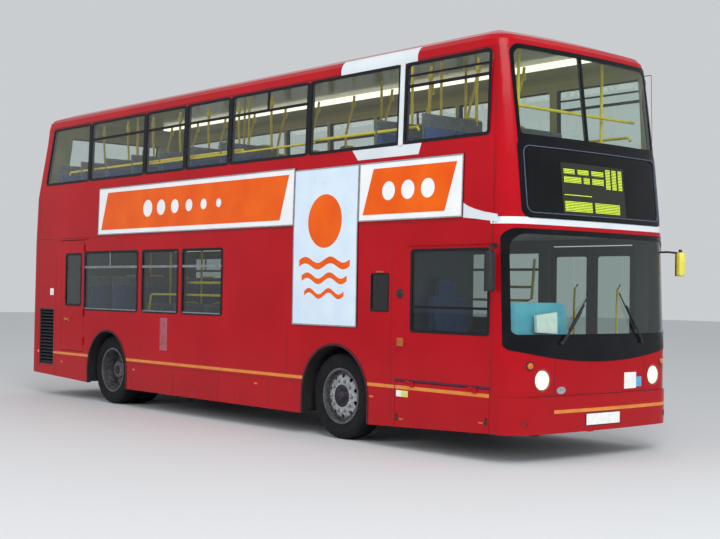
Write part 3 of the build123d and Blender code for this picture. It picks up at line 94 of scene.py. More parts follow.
def end_curve(y, z, setback, bow, corner):
    """Distance of the nose or tail from the middle of the bus, and the outward normal, at one place."""
    half = WIDTH / 2 - level(z, 3)
    radius = (half ** 2 + bow ** 2) / (2 * bow)
    centre = LENGTH / 2 - setback - radius
    corner_y = half - corner
    reach = abs(y)
    if reach > corner_y * radius / (radius - corner):
        corner_x = centre + sqrt((radius - corner) ** 2 - corner_y ** 2)
        reach = min(reach, half - 1e-4)
        along = sqrt(max(corner ** 2 - (reach - corner_y) ** 2, 0))
        return corner_x + along, Vector((along / corner, (reach - corner_y) / corner * (1 if y > 0 else -1), 0))
    along = sqrt(radius ** 2 - y ** 2)
    return centre + along, Vector((along / radius, y / radius, 0))


def on_side(side):
    """Places (x, z) on a side wall, with an offset outwards; above the eave it follows the roof's corner."""
    def place(x, z, off=0.0):
        turn = min(roof_turn(z), radians(80))
        y = WIDTH / 2 - level(z, 3) - ROOF_CORNER * (1 - cos(turn)) + off * cos(turn)
        return Vector((x, side * y, min(z, EAVE) + (ROOF_CORNER + off) * sin(turn)))
    return place


off = on_side(-1)
near = on_side(1)


def on_front(y, z, off=0.0):
    """Places (y, z) on the bowed nose, corners included."""
    x, normal = end_curve(y, z, level(z, 1), FRONT_BOW, FRONT_CORNER)
    return Vector((x - ROOF_CORNER * (1 - cos(roof_turn(z))), y, z)) + normal * off


def on_bumper(y, z, off=0.0):
    return on_front(y, z, off + BUMPER_STEP)


def on_rear(y, z, off=0.0):
    x, normal = end_curve(y, z, level(z, 2), REAR_BOW, REAR_CORNER)
    return Vector((-x - normal.x * off, y + normal.y * off, z))


# Colours and materials


def colour(code):
    """sRGB hex code to the linear colour that a shader takes."""
    channels = [int(code[i:i + 2], 16) / 255 for i in (0, 2, 4)]
    return (*[c / 12.92 if c <= 0.04045 else ((c + 0.055) / 1.055) ** 2.4 for c in channels], 1.0)


def new_material(name):
    made = bpy.data.materials.new(name)
    made.use_nodes = True
    made.node_tree.nodes.clear()
    return made, made.node_tree


def add(tree, kind, inputs=None, out=0, **settings):
    """Add one shader node, set its properties, set or link its inputs, and return one of its outputs."""
    made = tree.nodes.new("ShaderNode" + kind)
    for name, value in settings.items():
        setattr(made, name, value)
    for socket, value in (inputs or {}).items():
        if isinstance(value, bpy.types.NodeSocket):
            tree.links.new(value, made.inputs[socket])
        else:
            made.inputs[socket].default_value = value
    return made.outputs[out] if made.outputs else None


def surface(tree, inputs, kind="BsdfPrincipled"):
    add(tree, "OutputMaterial", {"Surface": add(tree, kind, inputs)})


def work_out(tree, operation, *values):
    return add(tree, "Math", dict(enumerate(values)), operation=operation)


def mix(tree, factor, first, second):
    return add(tree, "Mix", {"Factor": factor, 6: first, 7: second}, 2, data_type="RGBA")


def noise(tree, scale, detail=2.0, place=None):
    if place is None:
        place = add(tree, "TexCoord", out="Object")
    return add(tree, "TexNoise", {"Vector": place, "Scale": scale, "Detail": detail}, "Fac")


def mottled(tree, dark, light, size_mm):
    """Colour that wanders between two hex codes in patches of one real size; returns the colour and the pattern."""
    pattern = noise(tree, 1000 / size_mm, 3.0)
    tint = add(tree, "ValToRGB", {"Fac": pattern}, "Color")
    for stop, place, code in zip(tint.node.color_ramp.elements, (0.35, 0.65), (dark, light)):
        stop.position = place
        stop.color = colour(code)
    return tint, pattern


def finish(name, dark, light, size_mm, roughness, metallic=0.0, coat=0.0, grain_mm=0.0, grain=0.1,
           gleam=0.5):
    """A moulded, painted or cast surface: two close colours in patches, uneven gloss and, if given, a fine grain."""
    made, tree = new_material(name)
    tint, pattern = mottled(tree, dark, light, size_mm)
    gloss = add(tree, "MapRange", {"Value": pattern, "To Min": max(roughness - 0.08, 0.02),
                                   "To Max": min(roughness + 0.08, 1.0)})
    inputs = {"Base Color": tint, "Roughness": gloss, "Metallic": metallic, "Specular IOR Level": gleam,
              "Coat Weight": coat, "Coat Roughness": 0.08}
    if grain_mm:
        inputs["Normal"] = add(tree, "Bump", {"Height": noise(tree, 1000 / grain_mm), "Strength": grain,
                                              "Distance": 0.001})
    surface(tree, inputs)
    return made


def coach_paint():
    """Coach enamel: deep red outside with road film low down, plain laminate on the inside of each deck."""
    made, tree = new_material("coach_enamel_red")
    place = add(tree, "NewGeometry", out="Position")
    parts = add(tree, "SeparateXYZ", {"Vector": place}).node.outputs
    # Road film: a duller, browner red that fades out by about a metre up
    height = add(tree, "MapRange", {"Value": parts["Z"], "From Min": 0.2, "From Max": 1.0, "To Min": 0.22,
                                    "To Max": 0.0})
    film = work_out(tree, "MULTIPLY", height, noise(tree, 6.0, 4.0, place))
    dirty = mix(tree, film, mottled(tree, "A50B17", "B00E1B", 900)[0], colour("6A3A34"))
    # Cabin side: faces inside the walls' thickness that look back towards the middle of the bus
    from_middle = add(tree, "VectorMath", {0: place, 1: (0.0, 0.0, HEIGHT / 2)}, operation="SUBTRACT")
    outward = add(tree, "VectorMath", {0: place.node.outputs["Normal"], 1: from_middle}, "Value",
                  operation="DOT_PRODUCT")
    turned_in = work_out(tree, "LESS_THAN", outward, 0.0)
    within = work_out(tree, "LESS_THAN", work_out(tree, "ABSOLUTE", parts["Y"]), WIDTH / 2 - WALL + 0.008)
    inside = work_out(tree, "MULTIPLY", turned_in, within)
    upstairs = work_out(tree, "GREATER_THAN", parts["Z"], DECK_SEAM)
    lining = mix(tree, upstairs, colour("343A42"), colour("B0A874"))
    gloss = add(tree, "MapRange", {"Value": film, "From Max": 0.4, "To Min": 0.18, "To Max": 0.5})
    surface(tree, {"Base Color": mix(tree, inside, dirty, lining), "Roughness": gloss, "Specular IOR Level": 0.10,
                   "Coat Weight": 0.07, "Coat Roughness": 0.06})
    return made


def window_glass(name, tint, mirror=0.9):
    """Toughened float glass, lightly tinted: clear from the front, reflecting more at a slant."""
    made, tree = new_material(name)
    # Schlick's curve on the slant of the view, the same for both faces of the pane
    slant = add(tree, "LayerWeight", {"Blend": 0.5}, "Facing")
    amount = work_out(tree, "MULTIPLY_ADD", work_out(tree, "POWER", slant, 5.0), mirror, 0.04 * mirror)
    surface(tree, {0: amount, 1: add(tree, "BsdfTransparent", {"Color": colour(tint)}),
                   2: add(tree, "BsdfGlossy", {"Color": (1, 1, 1, 1), "Roughness": 0.02})}, "MixShader")
    return made


def lit(tree, tint, roughness, strength):
    surface(tree, {"Base Color": tint, "Roughness": roughness, "Emission Color": tint, "Emission Strength": strength})


def glowing(name, code, strength):
    """Lit diffuser or lamp: its own light over a pale moulding."""
    made, tree = new_material(name)
    lit(tree, colour(code), 0.3, add(tree, "MapRange", {"Value": noise(tree, 30.0), "To Min": strength * 0.85,
                                                        "To Max": strength * 1.15}))
    return made


def dot_matrix(name, code, pitch_mm, strength):
    """Rows of round lit dots on a black ground, as on a blank dot-matrix display."""
    made, tree = new_material(name)
    parts = add(tree, "SeparateXYZ", {"Vector": add(tree, "TexCoord", out="Object")}).node.outputs
    flat = add(tree, "CombineXYZ", {"X": parts["Y"], "Y": parts["Z"]})
    reach = add(tree, "TexVoronoi", {"Vector": flat, "Scale": 1000 / pitch_mm, "Randomness": 0.0}, "Distance",
                voronoi_dimensions="2D")
    dot = work_out(tree, "LESS_THAN", reach, 0.36)
    lit(tree, mix(tree, dot, colour("0A0C08"), colour(code)), 0.5, work_out(tree, "MULTIPLY", dot, strength))
    return made


RED = coach_paint()
WHITE_PAINT = finish("coach_enamel_white", "CFD8DC", "DAE2E6", 500, 0.25, coat=0.3)
BOARD_WHITE = finish("display_board_white_gloss_film", "E6EAEC", "F0F2F3", 400, 0.3, coat=0.2)
BOARD_ICE = finish("display_board_pale_blue_film", "CFE2F2", "D9E9F5", 300, 0.3, coat=0.2)
BOARD_ORANGE = finish("display_board_orange_film", "E25400", "EA6206", 400, 0.35, gleam=0.2)
STRIPE = finish("orange_stripe_film", "D07C26", "DE8A34", 120, 0.35)
FRAME_BLACK = finish("glazing_rubber_black", "0C0C12", "16161E", 40, 0.5, grain_mm=3, gleam=0.25)
GLOSS_BLACK = finish("screen_border_black_ceramic", "06070B", "0C0E14", 200, 0.2, gleam=0.2)
BEAD_GREY = finish("display_glass_edge_grey_rubber", "3E4654", "4E5868", 40, 0.45, grain_mm=3)
PLASTIC_BLACK = finish("abs_black_moulded", "17171B", "26262B", 50, 0.5, grain_mm=2, grain=0.15)
SEAM = finish("seam_sealant_dark", "3A0E12", "4A1216", 60, 0.7)
CHASSIS = finish("chassis_black_paint_dusty", "121112", "221F1E", 120, 0.75, grain_mm=6, grain=0.3)
IRON = finish("cast_iron_engine_painted", "2A2C2E", "3C3E3F", 90, 0.6, metallic=0.4, grain_mm=3, grain=0.4)
RIM_PAINT = finish("wheel_silver_paint_dusty", "8C9094", "B4B8BC", 45, 0.5, metallic=0.35, grain_mm=3)
# Darker silver: brake dust on the front wheels' outer flanges; on the rear rims it is painted shade as well
BRAKE_DUST_AND_SHADE = finish("wheel_silver_paint_brake_dust", "4A4A4C", "6C6C70", 45, 0.6, metallic=0.3, grain_mm=3)
HUB_DARK = finish("hub_grease_dark_steel", "24212A", "3E3A46", 30, 0.6, metallic=0.4, grain_mm=3)
NUT_STEEL = finish("wheel_nut_zinc_plated", "7E827E", "A2A69E", 20, 0.4, metallic=0.7)
TYRE = finish("tyre_rubber_moulded", "0D0E12", "1A1B1F", 60, 0.85, grain_mm=4, grain=0.25, gleam=0.3)
FLOORING = finish("flooring_grey_vinyl", "4A4C50", "60636A", 15, 0.6, grain_mm=3)
CEILING_GREY = finish("ceiling_laminate_grey", "6E7070", "7C7E7C", 300, 0.5)
CAB_DARK = finish("cab_back_panel_dark_blue_laminate", "1E2C40", "283A52", 200, 0.4)
CAB_BLUE = finish("cab_panel_light_blue_laminate", "4FA8C4", "62B8D0", 200, 0.45)
MOQUETTE = finish("moquette_blue_woven", "22386A", "3C5C94", 18, 0.95, grain_mm=2, grain=0.4)
SEAT_SHELL = finish("seat_shell_grey_moulded", "585C64", "6C7078", 60, 0.5, grain_mm=2)
RAIL_YELLOW = finish("grab_rail_yellow_powder_coat", "F0CC10", "FADC20", 80, 0.4)
GLASS = window_glass("safety_glass_light_tint", "F2F6F4")
GREY_GLASS = window_glass("safety_glass_grey_tint", "DCE2E0")
SCREEN_GLASS = window_glass("windscreen_glass_laminated", "EEF5F2")
LAMP_LIT = glowing("headlamp_lens_lit", "FFEAB8", 1.0)
STRIP_LIGHT = glowing("fluorescent_diffuser", "FFF8E2", 1.5)
CHROME = finish("bright_plated_steel", "A8ACB0", "C4C8CC", 40, 0.18, metallic=0.9)
ALUMINIUM = finish("aluminium_trim_anodised", "9A9EA2", "B0B4B8", 60, 0.4, metallic=0.6)
HOPPER_GREY = finish("hopper_bar_grey_anodised", "70747C", "8A8E96", 40, 0.45, metallic=0.3)
ARCH_TRIM = finish("wheel_arch_edge_scuffed_paint", "34141C", "4C222C", 60, 0.6, grain_mm=3, gleam=0.3)
LAMP_RED = finish("lamp_surround_red_enamel", "9C1A22", "AC242C", 200, 0.35, coat=0.3)
PLATE_PINK = finish("side_plate_faded_pink_film", "98404F", "A85866", 80, 0.5)
PLATE_WHITE = finish("number_plate_blank_acrylic", "E4E6E2", "F0F2EE", 60, 0.3)
LABEL_YELLOW = finish("label_yellow_film", "CCD060", "DADE80", 60, 0.4)
STICKER_BLUE = finish("sticker_blue_film", "4A9AD0", "62AEDC", 60, 0.35)
MIRROR_YELLOW = finish("mirror_shell_yellow_moulded", "D8D040", "E6DC5C", 60, 0.4)
# Dark purple strip along the top of the offside flap: the gap there, drawn wider and darker as painted shadow
FLAP_GAP_SHADOW = finish("flap_seal_dark_rubber", "3C1226", "501C34", 40, 0.7)
DISPLAY = finish("route_display_blank_black_glass", "040506", "0A0B0D", 300, 0.15, gleam=0.2)
DISPLAY_LIT = dot_matrix("route_display_lit_dots", "C8E038", 16, 0.9)
DISPLAY_DULL = finish("route_display_unlit_matrix", "14180E", "20261A", 12, 0.5)
AMBER = finish("indicator_lens_amber_acrylic", "C06414", "D87C28", 20, 0.2, coat=0.4)
AMBER_DULL = finish("repeater_lens_dull_amber", "9A4A14", "AE5E20", 20, 0.35)
RED_LENS = finish("tail_lens_red_acrylic", "8E0C10", "B41418", 20, 0.2, coat=0.6)


# Mesh making: each shape is a pair of vertices and faces


def join(shapes):
    """Several shapes as one."""
    verts = []
    faces = []
    for some_verts, some_faces in shapes:
        faces += [tuple(i + len(verts) for i in face) for face in some_faces]
        verts += some_verts
    return verts, faces


def place_object(name, data):
    made = bpy.data.objects.new(name, data)
    bpy.context.collection.objects.link(made)
    return made


def piece(name, shapes, material, body="bus_body", replaces=(), smooth=False):
    """One object of the bus, from a shape or a list of them, riding on a body of the frame."""
    verts, faces = shapes if isinstance(shapes, tuple) else join(shapes)
    mesh = bpy.data.meshes.new(name)
    mesh.from_pydata([tuple(v) for v in verts], [], faces)
    mesh.validate()
    mesh.materials.append(material)
    made = place_object(name, mesh)
    work = bmesh.new()
    work.from_mesh(mesh)
    bmesh.ops.recalc_face_normals(work, faces=work.faces)
    work.to_mesh(mesh)
    work.free()
    if smooth:
        mesh.shade_smooth()
        mesh.set_sharp_from_angle(angle=radians(35))
    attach(made, body)
    if replaces:
        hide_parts(*replaces)
    return made


def rounded(*args, **extra):
    """A piece that is shaded smooth between its sharp edges."""
    return piece(*args, smooth=True, **extra)


def hoops(rows, count, closed=False):
    """Faces between rows of points that each run round in a loop."""
    faces = []
    for row in range(rows if closed else rows - 1):
        above = (row + 1) % rows
        for i in range(count):
            j = (i + 1) % count
            faces.append((row * count + i, row * count + j, above * count + j, above * count + i))
    return faces


def caps(rows, count):
    return [tuple(range(count)), tuple(range((rows - 1) * count, rows * count))]


def circle(centre, axis, radius, count):
    spare = Vector((0, 0, 1) if abs(axis.z) < 0.95 else (0, 1, 0))
    side = axis.cross(spare).normalized()
    other = side.cross(axis)
    turns = [2 * pi * k / count for k in range(count)]
    return [centre + radius * (cos(turn) * side + sin(turn) * other) for turn in turns]


def tube(points, radius, sides=10):
    """Round tube through points."""
    points = [Vector(p) for p in points]
    verts = []
    for i, p in enumerate(points):
        along = points[min(i + 1, len(points) - 1)] - points[max(i - 1, 0)]
        verts += circle(p, along.normalized(), radius, sides)
    return verts, hoops(len(points), sides) + caps(len(points), sides)


def lathe(profile, centre, axis, segments=48, closed=False):
    """Solid or shell turned about an axis from (radius, distance along the axis) points in millimetres."""
    axis = Vector(axis).normalized()
    verts = []
    for radius, along in profile:
        verts += circle(Vector(centre) + axis * (along / 1000), axis, max(radius / 1000, 1e-5), segments)
    return verts, hoops(len(profile), segments, closed)


def turned(place, u, v, profile, segments=28):
    """Fitting turned about a surface's own outward line, from (radius, height) points in mm."""
    centre = place(u, v, 0.0)
    return lathe(profile, centre, place(u, v, 0.1) - centre, segments)


def rectangle(x0, x1, z0, z1):
    return [Vector((x0, z0)), Vector((x1, z0)), Vector((x1, z1)), Vector((x0, z1))]


def inset(box, gap):
    x0, x1, z0, z1 = box
    return (x0 + gap, x1 - gap, z0 + gap, z1 - gap)


def round_polygon(corners, radius, turn_steps=5):
    """Closed outline with each corner rounded."""
    points = []
    for i, corner in enumerate(corners):
        here = Vector(corner)
        before = (Vector(corners[i - 1]) - here).normalized()
        after = (Vector(corners[(i + 1) % len(corners)]) - here).normalized()
        half_angle = before.angle(after) / 2
        start, end = [here + way * (radius / tan(half_angle)) for way in (before, after)]
        centre = here + (before + after).normalized() * (radius / sin(half_angle))
        first = atan2(start.y - centre.y, start.x - centre.x)
        turn = atan2(end.y - centre.y, end.x - centre.x) - first
        turn = (turn + pi) % (2 * pi) - pi
        for j in range(turn_steps + 1):
            angle = first + turn * j / turn_steps
            points.append(Vector((centre.x + radius * cos(angle), centre.y + radius * sin(angle))))
    return points


def grow(corners, amount):
    """Corners of an outline moved outwards so that each edge shifts by the amount."""
    moved = []
    for i, corner in enumerate(corners):
        here = Vector(corner)
        before = (here - Vector(corners[i - 1])).normalized()
        after = (Vector(corners[(i + 1) % len(corners)]) - here).normalized()
        normal = Vector((before.y, -before.x))
        bisector = (normal + Vector((after.y, -after.x))).normalized()
        moved.append(here + bisector * (amount / bisector.dot(normal)))
    return moved


def divide_pair(outer, inner, step):
    """Divide two outlines alike, so that they still match point for point."""
    pair = ([], [])
    for i, here in enumerate(outer):
        j = (i + 1) % len(outer)
        pieces = max(1, round((outer[j] - here).length / step))
        for loop, new_loop in zip((outer, inner), pair):
            new_loop += [loop[i].lerp(loop[j], k / pieces) for k in range(pieces)]
    return pair


def ring(place, outer, inner, proud, depth):
    """Solid frame between two outlines with as many points each, from proud outside to depth inside."""
    laps = ((outer, proud), (inner, proud), (inner, -depth), (outer, -depth))
    return [place(p.x, p.y, off) for loop, off in laps for p in loop], hoops(4, len(outer), True)


def window_frame(place, corners, radius, out, over):
    """Rubber frame round a window: covers the wall by out and the glass by over."""
    outer = round_polygon(grow(corners, out), radius + out)
    inner = round_polygon(grow(corners, -over), max(radius - over, 0.01))
    return ring(place, outer, inner, 0.004, 0.004)


def slab(place, rows, proud, thickness):
    """Plate lying on a surface, from rows of places with as many in each."""
    verts = [place(u, v, off) for off in (proud, proud - thickness) for row in rows for u, v in row]
    wide = len(rows[0])
    last = len(rows) - 1
    count = wide * len(rows)
    faces = []
    for a in [r * wide + k for r in range(last) for k in range(wide - 1)]:
        b = a + count
        faces += [(a, a + 1, a + wide + 1, a + wide), (b, b + wide, b + wide + 1, b + 1)]
    rim = [(r * wide + k, (r + 1) * wide + k) for k in (0, wide - 1) for r in range(last)]
    rim += [(r * wide + k, r * wide + k + 1) for r in (0, last) for k in range(wide - 1)]
    return verts, faces + [(a, b, b + count, a + count) for a, b in rim]


def band_on(place, edges, proud=FILM, thickness=FILM_DEPTH):
    """Strip along a surface from (u, low, high) stations."""
    return slab(place, [((u, low), (u, high)) for u, low, high in edges], proud, thickness)


def rows_on(place, rows, columns=1, proud=FILM, thickness=FILM_DEPTH):
    """Plate on a surface between slanted edges, from (z, left, right) rows going up."""
    return slab(place, [[(left + (right - left) * k / columns, z) for k in range(columns + 1)]
                        for z, left, right in rows], proud, thickness)


def slanted(z0, z1, lefts, rights, count):
    """Rows (z, left, right) of a plate whose edges run from one place at the bottom to another at the top."""
    shares = [k / count for k in range(count + 1)]
    return [[a + (b - a) * share for a, b in ((z0, z1), lefts, rights)] for share in shares]


def strip(place, u0, u1, low, high, proud=FILM, thickness=FILM_DEPTH, count=1):
    """Level strip on a surface, divided along its length so that it bends with it."""
    return band_on(place, [(u0 + (u1 - u0) * k / count, low, high) for k in range(count + 1)], proud, thickness)


def bars(place, spans, proud=0.007, thickness=0.014):
    """Flat bars on a surface, from (left, right, bottom, top) spans."""
    return [strip(place, *span, proud, thickness) for span in spans]


def crossings(loop, u):
    """Lowest and highest point of a convex outline on one upright line."""
    found = []
    for a, b in zip(loop, loop[1:] + loop[:1]):
        if min(a.x, b.x) - 1e-6 <= u <= max(a.x, b.x) + 1e-6:
            if abs(b.x - a.x) < 1e-9:
                found += [a.y, b.y]
            else:
                found.append(a.y + (u - a.x) / (b.x - a.x) * (b.y - a.y))
    return min(found), max(found)


def film_on(place, loop, proud, thickness=0.001, step=0.12):
    """Plate of one convex outline lying on a side wall, in rows that bend where the wall does."""
    levels = {round(p.y, 5) for p in loop}
    bottom, top = min(levels), max(levels)
    levels |= {z for z, *rest in SHELL_LEVELS if bottom < z < top}
    count = int((top - bottom) / step)
    levels |= {round(bottom + (top - bottom) * k / (count + 1), 5) for k in range(1, count + 1)}
    on_edge = [Vector((p.y, p.x)) for p in loop]
    return rows_on(place, [(z, *crossings(on_edge, z)) for z in sorted(levels)], 1, proud, thickness)


def soft_box(x0, x1, y0, y1, z0, z1, radius, segments=3):
    """Box with rounded edges."""
    work = bmesh.new()
    bmesh.ops.create_cube(work, size=1.0)
    for v in work.verts:
        v.co = [(a + b) / 2 + c * (b - a) for a, b, c in zip((x0, y0, z0), (x1, y1, z1), v.co)]
    bmesh.ops.bevel(work, geom=work.edges[:], offset=radius, segments=segments, profile=0.5, affect="EDGES")
    work.verts.index_update()
    shape = ([v.co.copy() for v in work.verts], [tuple(v.index for v in f.verts) for f in work.faces])
    work.free()
    return shape


# Finishes of the pieces that keep the frame's shape

for material, nodes in (
    (RED, "offside_lower_wall nearside_lower_wall offside_upper_wall nearside_upper_wall front_lower_panel "
          "front_bumper front_upper_panel rear_lower_panel rear_upper_panel roof engine_cover offside_flap "
          "emergency_door"),
    (GLASS, "offside_glass nearside_glass rear_window"), (SCREEN_GLASS, "lower_windscreen upper_windscreen"),
    (DISPLAY, "destination_box"), (PLASTIC_BLACK, "engine_grille steering_wheel seat_frames"),
    (CAB_BLUE, "dashboard"), (CAB_DARK, "cab_screen"), (MOQUETTE, "driver_seat"), (BOARD_WHITE, "advert_boards"),
    (FLOORING, "lower_floor staircase"), (CEILING_GREY, "upper_floor"), (STRIP_LIGHT, "ceiling_lights"),
    (RAIL_YELLOW, "grab_rails"), (IRON, "engine_block"), (RIM_PAINT, "front_nearside_rim front_offside_rim"),
    # The rear rims take the darker silver for the shade they stand in under the body: painted shade as well as brake
    # dust
    (BRAKE_DUST_AND_SHADE, "rear_nearside_rims rear_offside_rims"),
    (CHASSIS, "chassis_rails chassis_members propeller_shaft front_axle_beam rear_axle_casing wheel_housings "
              "nearside_knuckle offside_knuckle"),
    (FRAME_BLACK, "entrance_front_leaf entrance_rear_leaf exit_front_leaf exit_rear_leaf"),
):
    for node in nodes.split():
        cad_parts[node].data.materials.clear()
        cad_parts[node].data.materials.append(material)


def repaint(nodes, material, test):
    """Another finish for some faces of frame pieces. The test takes a face's middle, normal and corners."""
    for node in nodes.split():
        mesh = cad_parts[node].data
        mesh.materials.append(material)
        for face in mesh.polygons:
            if test(face.center, face.normal, [mesh.vertices[v].co for v in face.vertices]):
                face.material_index = len(mesh.materials) - 1


def in_box(low, high):
    return lambda middle, normal, corners: all(a <= c <= b for a, c, b in zip(low, middle, high))


def in_cuts(spans):
    """Test for the cut edges of openings, from (rear, front, bottom, top) spans."""
    return lambda middle, normal, corners: abs(normal.y) < 0.6 and any(
        x0 - 0.01 < middle.x < x1 + 0.01 and z0 - 0.01 < middle.z < z1 + 0.01 for x0, x1, z0, z1 in spans)


def near_arch(middle, reach):
    return any(hypot(middle.x - x, max(middle.z - TYRE_R, 0.0)) < radius + reach for x, radius in ARCHES)


# The panes of the doors, which are solids of the same pieces as their leaves; the lower deck has greyer glass
PANE_Y = 1.228
for node, x0, x1 in (("entrance_front_leaf", 3.9, 4.6), ("entrance_rear_leaf", 3.3, 3.95),
                     ("exit_front_leaf", 0.8, 1.5), ("exit_rear_leaf", 0.2, 0.9)):
    repaint(node, GREY_GLASS, in_box((x0, PANE_Y - 0.004, 0.47), (x1, PANE_Y + 0.004, 2.08)))
repaint("emergency_door", GREY_GLASS, in_box((-3.958, -1.262, 1.3825), (-3.502, -1.24, 2.1175)))
repaint("offside_glass nearside_glass", GREY_GLASS, in_box((-LENGTH, -WIDTH, 0.0), (LENGTH, WIDTH, DECK_SEAM)))

# Cut edges of the openings, black as the glazing rubber is
repaint("offside_upper_wall nearside_upper_wall", FRAME_BLACK, in_cuts(
    [(x0, x1, UPPER_SILL, UPPER_HEAD) for x0, x1 in UPPER_BAYS + (UPPER_REAR_BAY[::2],)]))
repaint("offside_lower_wall", FRAME_BLACK, in_cuts(
    [(x0, x1, LOWER_SILL, LOWER_HEAD) for x0, x1 in OFFSIDE_BAYS] + [DRIVER_WINDOW, VENT_WINDOW]))
repaint("nearside_lower_wall", FRAME_BLACK, in_cuts(
    [(x0, x1, LOWER_SILL, LOWER_HEAD) for x0, x1 in NEARSIDE_BAYS] + [(x0, x1, 0.33, 2.205) for x0, x1 in DOORWAYS]))
repaint("emergency_door", FRAME_BLACK, in_cuts([(-3.97, -3.49, 1.37, 2.13)]))
# The thickness of the walls round the wheels, and the rolled lips of the arches
repaint("offside_lower_wall nearside_lower_wall", CHASSIS,
        lambda middle, normal, corners: abs(normal.y) < 0.6 and near_arch(middle, 0.008))
# Front wheels: a dark, greasy middle and a dirty outer flange round the bright disc
for material, low, high in ((HUB_DARK, 0.0, 0.128), (BRAKE_DUST_AND_SHADE, 0.236, 1.0)):
    repaint("front_nearside_rim front_offside_rim", material, lambda middle, normal, corners: low < max(
        hypot(c.x - FRONT_AXLE_X, c.z - TYRE_R) for c in corners) < high)
# The cut edges of the nose's openings, and the pillar behind the upper screen
for node, (half, bottom, top) in (("front_lower_panel", LOWER_SCREEN), ("front_upper_panel", UPPER_SCREEN),
                                  ("front_upper_panel", DESTINATION)):
    repaint(node, FRAME_BLACK, lambda middle, normal, corners: (
        (abs(normal.x) < 0.45 or abs(middle.y) < 0.14) and middle.x > 4.6 and abs(middle.y) < half + 0.01
        and bottom - 0.04 < middle.z < top + 0.005))
repaint("offside_lower_wall nearside_lower_wall", ARCH_TRIM, lambda middle, normal, corners: (
    abs(middle.y) > WIDTH / 2 + 0.001 and near_arch(middle, LIP_REACH) and middle.z < 1.08))


# Window frames and vents


def side_frames(side):
    """Rubber frames of one side's windows, both decks, and the bars of their opening vents."""
    place = on_side(side)
    bottom_x, top_x, front_x = UPPER_REAR_BAY
    windows = [[(bottom_x, UPPER_SILL), (front_x, UPPER_SILL), (front_x, UPPER_HEAD), (top_x, UPPER_HEAD)]]
    windows += [rectangle(x0, x1, UPPER_SILL, UPPER_HEAD) for x0, x1 in UPPER_BAYS]
    found = [window_frame(place, corners, WINDOW_RADIUS, 0.022, 0.012) for corners in windows]
    for x, _ in UPPER_BAYS[:5]:
        post = (x - 0.045, x - 0.045), (x - 0.015, x - 0.015)
        found.append(rows_on(place, slanted(UPPER_SILL, UPPER_HEAD, *post, 6), 1, 0.0035, 0.006))
    for x0, x1 in OFFSIDE_BAYS if side < 0 else NEARSIDE_BAYS:
        found.append(window_frame(place, rectangle(x0, x1, LOWER_SILL, LOWER_HEAD), WINDOW_RADIUS, 0.024, 0.014))
    spans = [(*UPPER_BAYS[k], VENT_BAR - 0.016, VENT_BAR + 0.016) for k in (0, 1, 2, 3, 5)]
    middle = sum(UPPER_BAYS[3]) / 2
    spans.append((middle - 0.016, middle + 0.016, VENT_BAR, UPPER_HEAD))
    spans.append((*UPPER_BAYS[5], VENT_BAR + 0.10, VENT_BAR + 0.12))
    if side < 0:
        found.append(window_frame(place, rectangle(*DRIVER_WINDOW), WINDOW_RADIUS, 0.014, 0.018))
        found.append(window_frame(place, rectangle(*VENT_WINDOW), WINDOW_RADIUS / 2, 0.007, 0.012))
        spans.append((*DRIVER_WINDOW[:2], 1.476, 1.502))
    return found + bars(place, spans)


def hopper_bars(side):
    """Grey bars under the lower deck's opening vents, and the grey sill strip of each window."""
    spans = []
    windows = OFFSIDE_BAYS if side < 0 else NEARSIDE_BAYS
    for x0, x1 in windows:
        spans.append((x0, x1, LOWER_VENT_BAR - 0.016, LOWER_VENT_BAR + 0.016))
        spans.append((x0 + 0.02, x1 - 0.02, LOWER_SILL - 0.004, LOWER_SILL + 0.013))
    middle = sum(windows[0]) / 2
    return bars(on_side(side), spans + [(middle - 0.014, middle + 0.014, LOWER_VENT_BAR, LOWER_HEAD)])


for side, name in SIDES:
    piece(name + "_window_rubbers", side_frames(side), FRAME_BLACK)
    piece(name + "_hopper_bars", hopper_bars(side), HOPPER_GREY)
piece("emergency_window_rubber", window_frame(off, rectangle(-3.96, -3.50, 1.38, 2.12), WINDOW_RADIUS, 0.02, 0.014),
      FRAME_BLACK, "emergency_door")


def round_box(half, bottom, top, low_radius, high_radius):
    """Outline of a box across the nose, with one radius for its lower corners and one for its upper."""
    found = []
    for y, z, radius, start in ((half, bottom, low_radius, -90), (half, top, high_radius, 0),
                                (-half, top, high_radius, 90), (-half, bottom, low_radius, 180)):
        centre = Vector((y - radius if y > 0 else y + radius, z - radius if z == top else z + radius))
        turns = [radians(start + 90 * k / 8) for k in range(9)]
        found += [centre + radius * Vector((cos(turn), sin(turn))) for turn in turns]
    return found


def screen_border(opening, outer_edge, inner_edge, proud, sag=0.0):
    """Black border round an opening in the nose. Each of its edges is given as steps past the opening's half width,
    bottom and top, then the radii of the lower and upper corners. The outer edge sags in the middle of its bottom."""
    half, bottom, top = [a + b for a, b in zip(opening, outer_edge)]
    inside = [a + b for a, b in zip(opening, inner_edge)]
    outer, inner = divide_pair(round_box(half, bottom, top, *outer_edge[3:]),
                               round_box(*inside, *inner_edge[3:]), 0.07)
    outer = [Vector((p.x, p.y - sag * (1 - (p.x / half) ** 2) * (top - p.y) / (top - bottom))) for p in outer]
    return ring(on_front, outer, inner, proud, 0.006)


# Lower windscreen: black ceramic border, deep along its bottom edge
rounded("lower_screen_border", screen_border(LOWER_SCREEN, (0.04, 0.085, 0.03, 0.05, 0.10),
                                             (-0.006, 0.23, -0.022, 0.05, 0.135), 0.005, 0.130), GLOSS_BLACK)
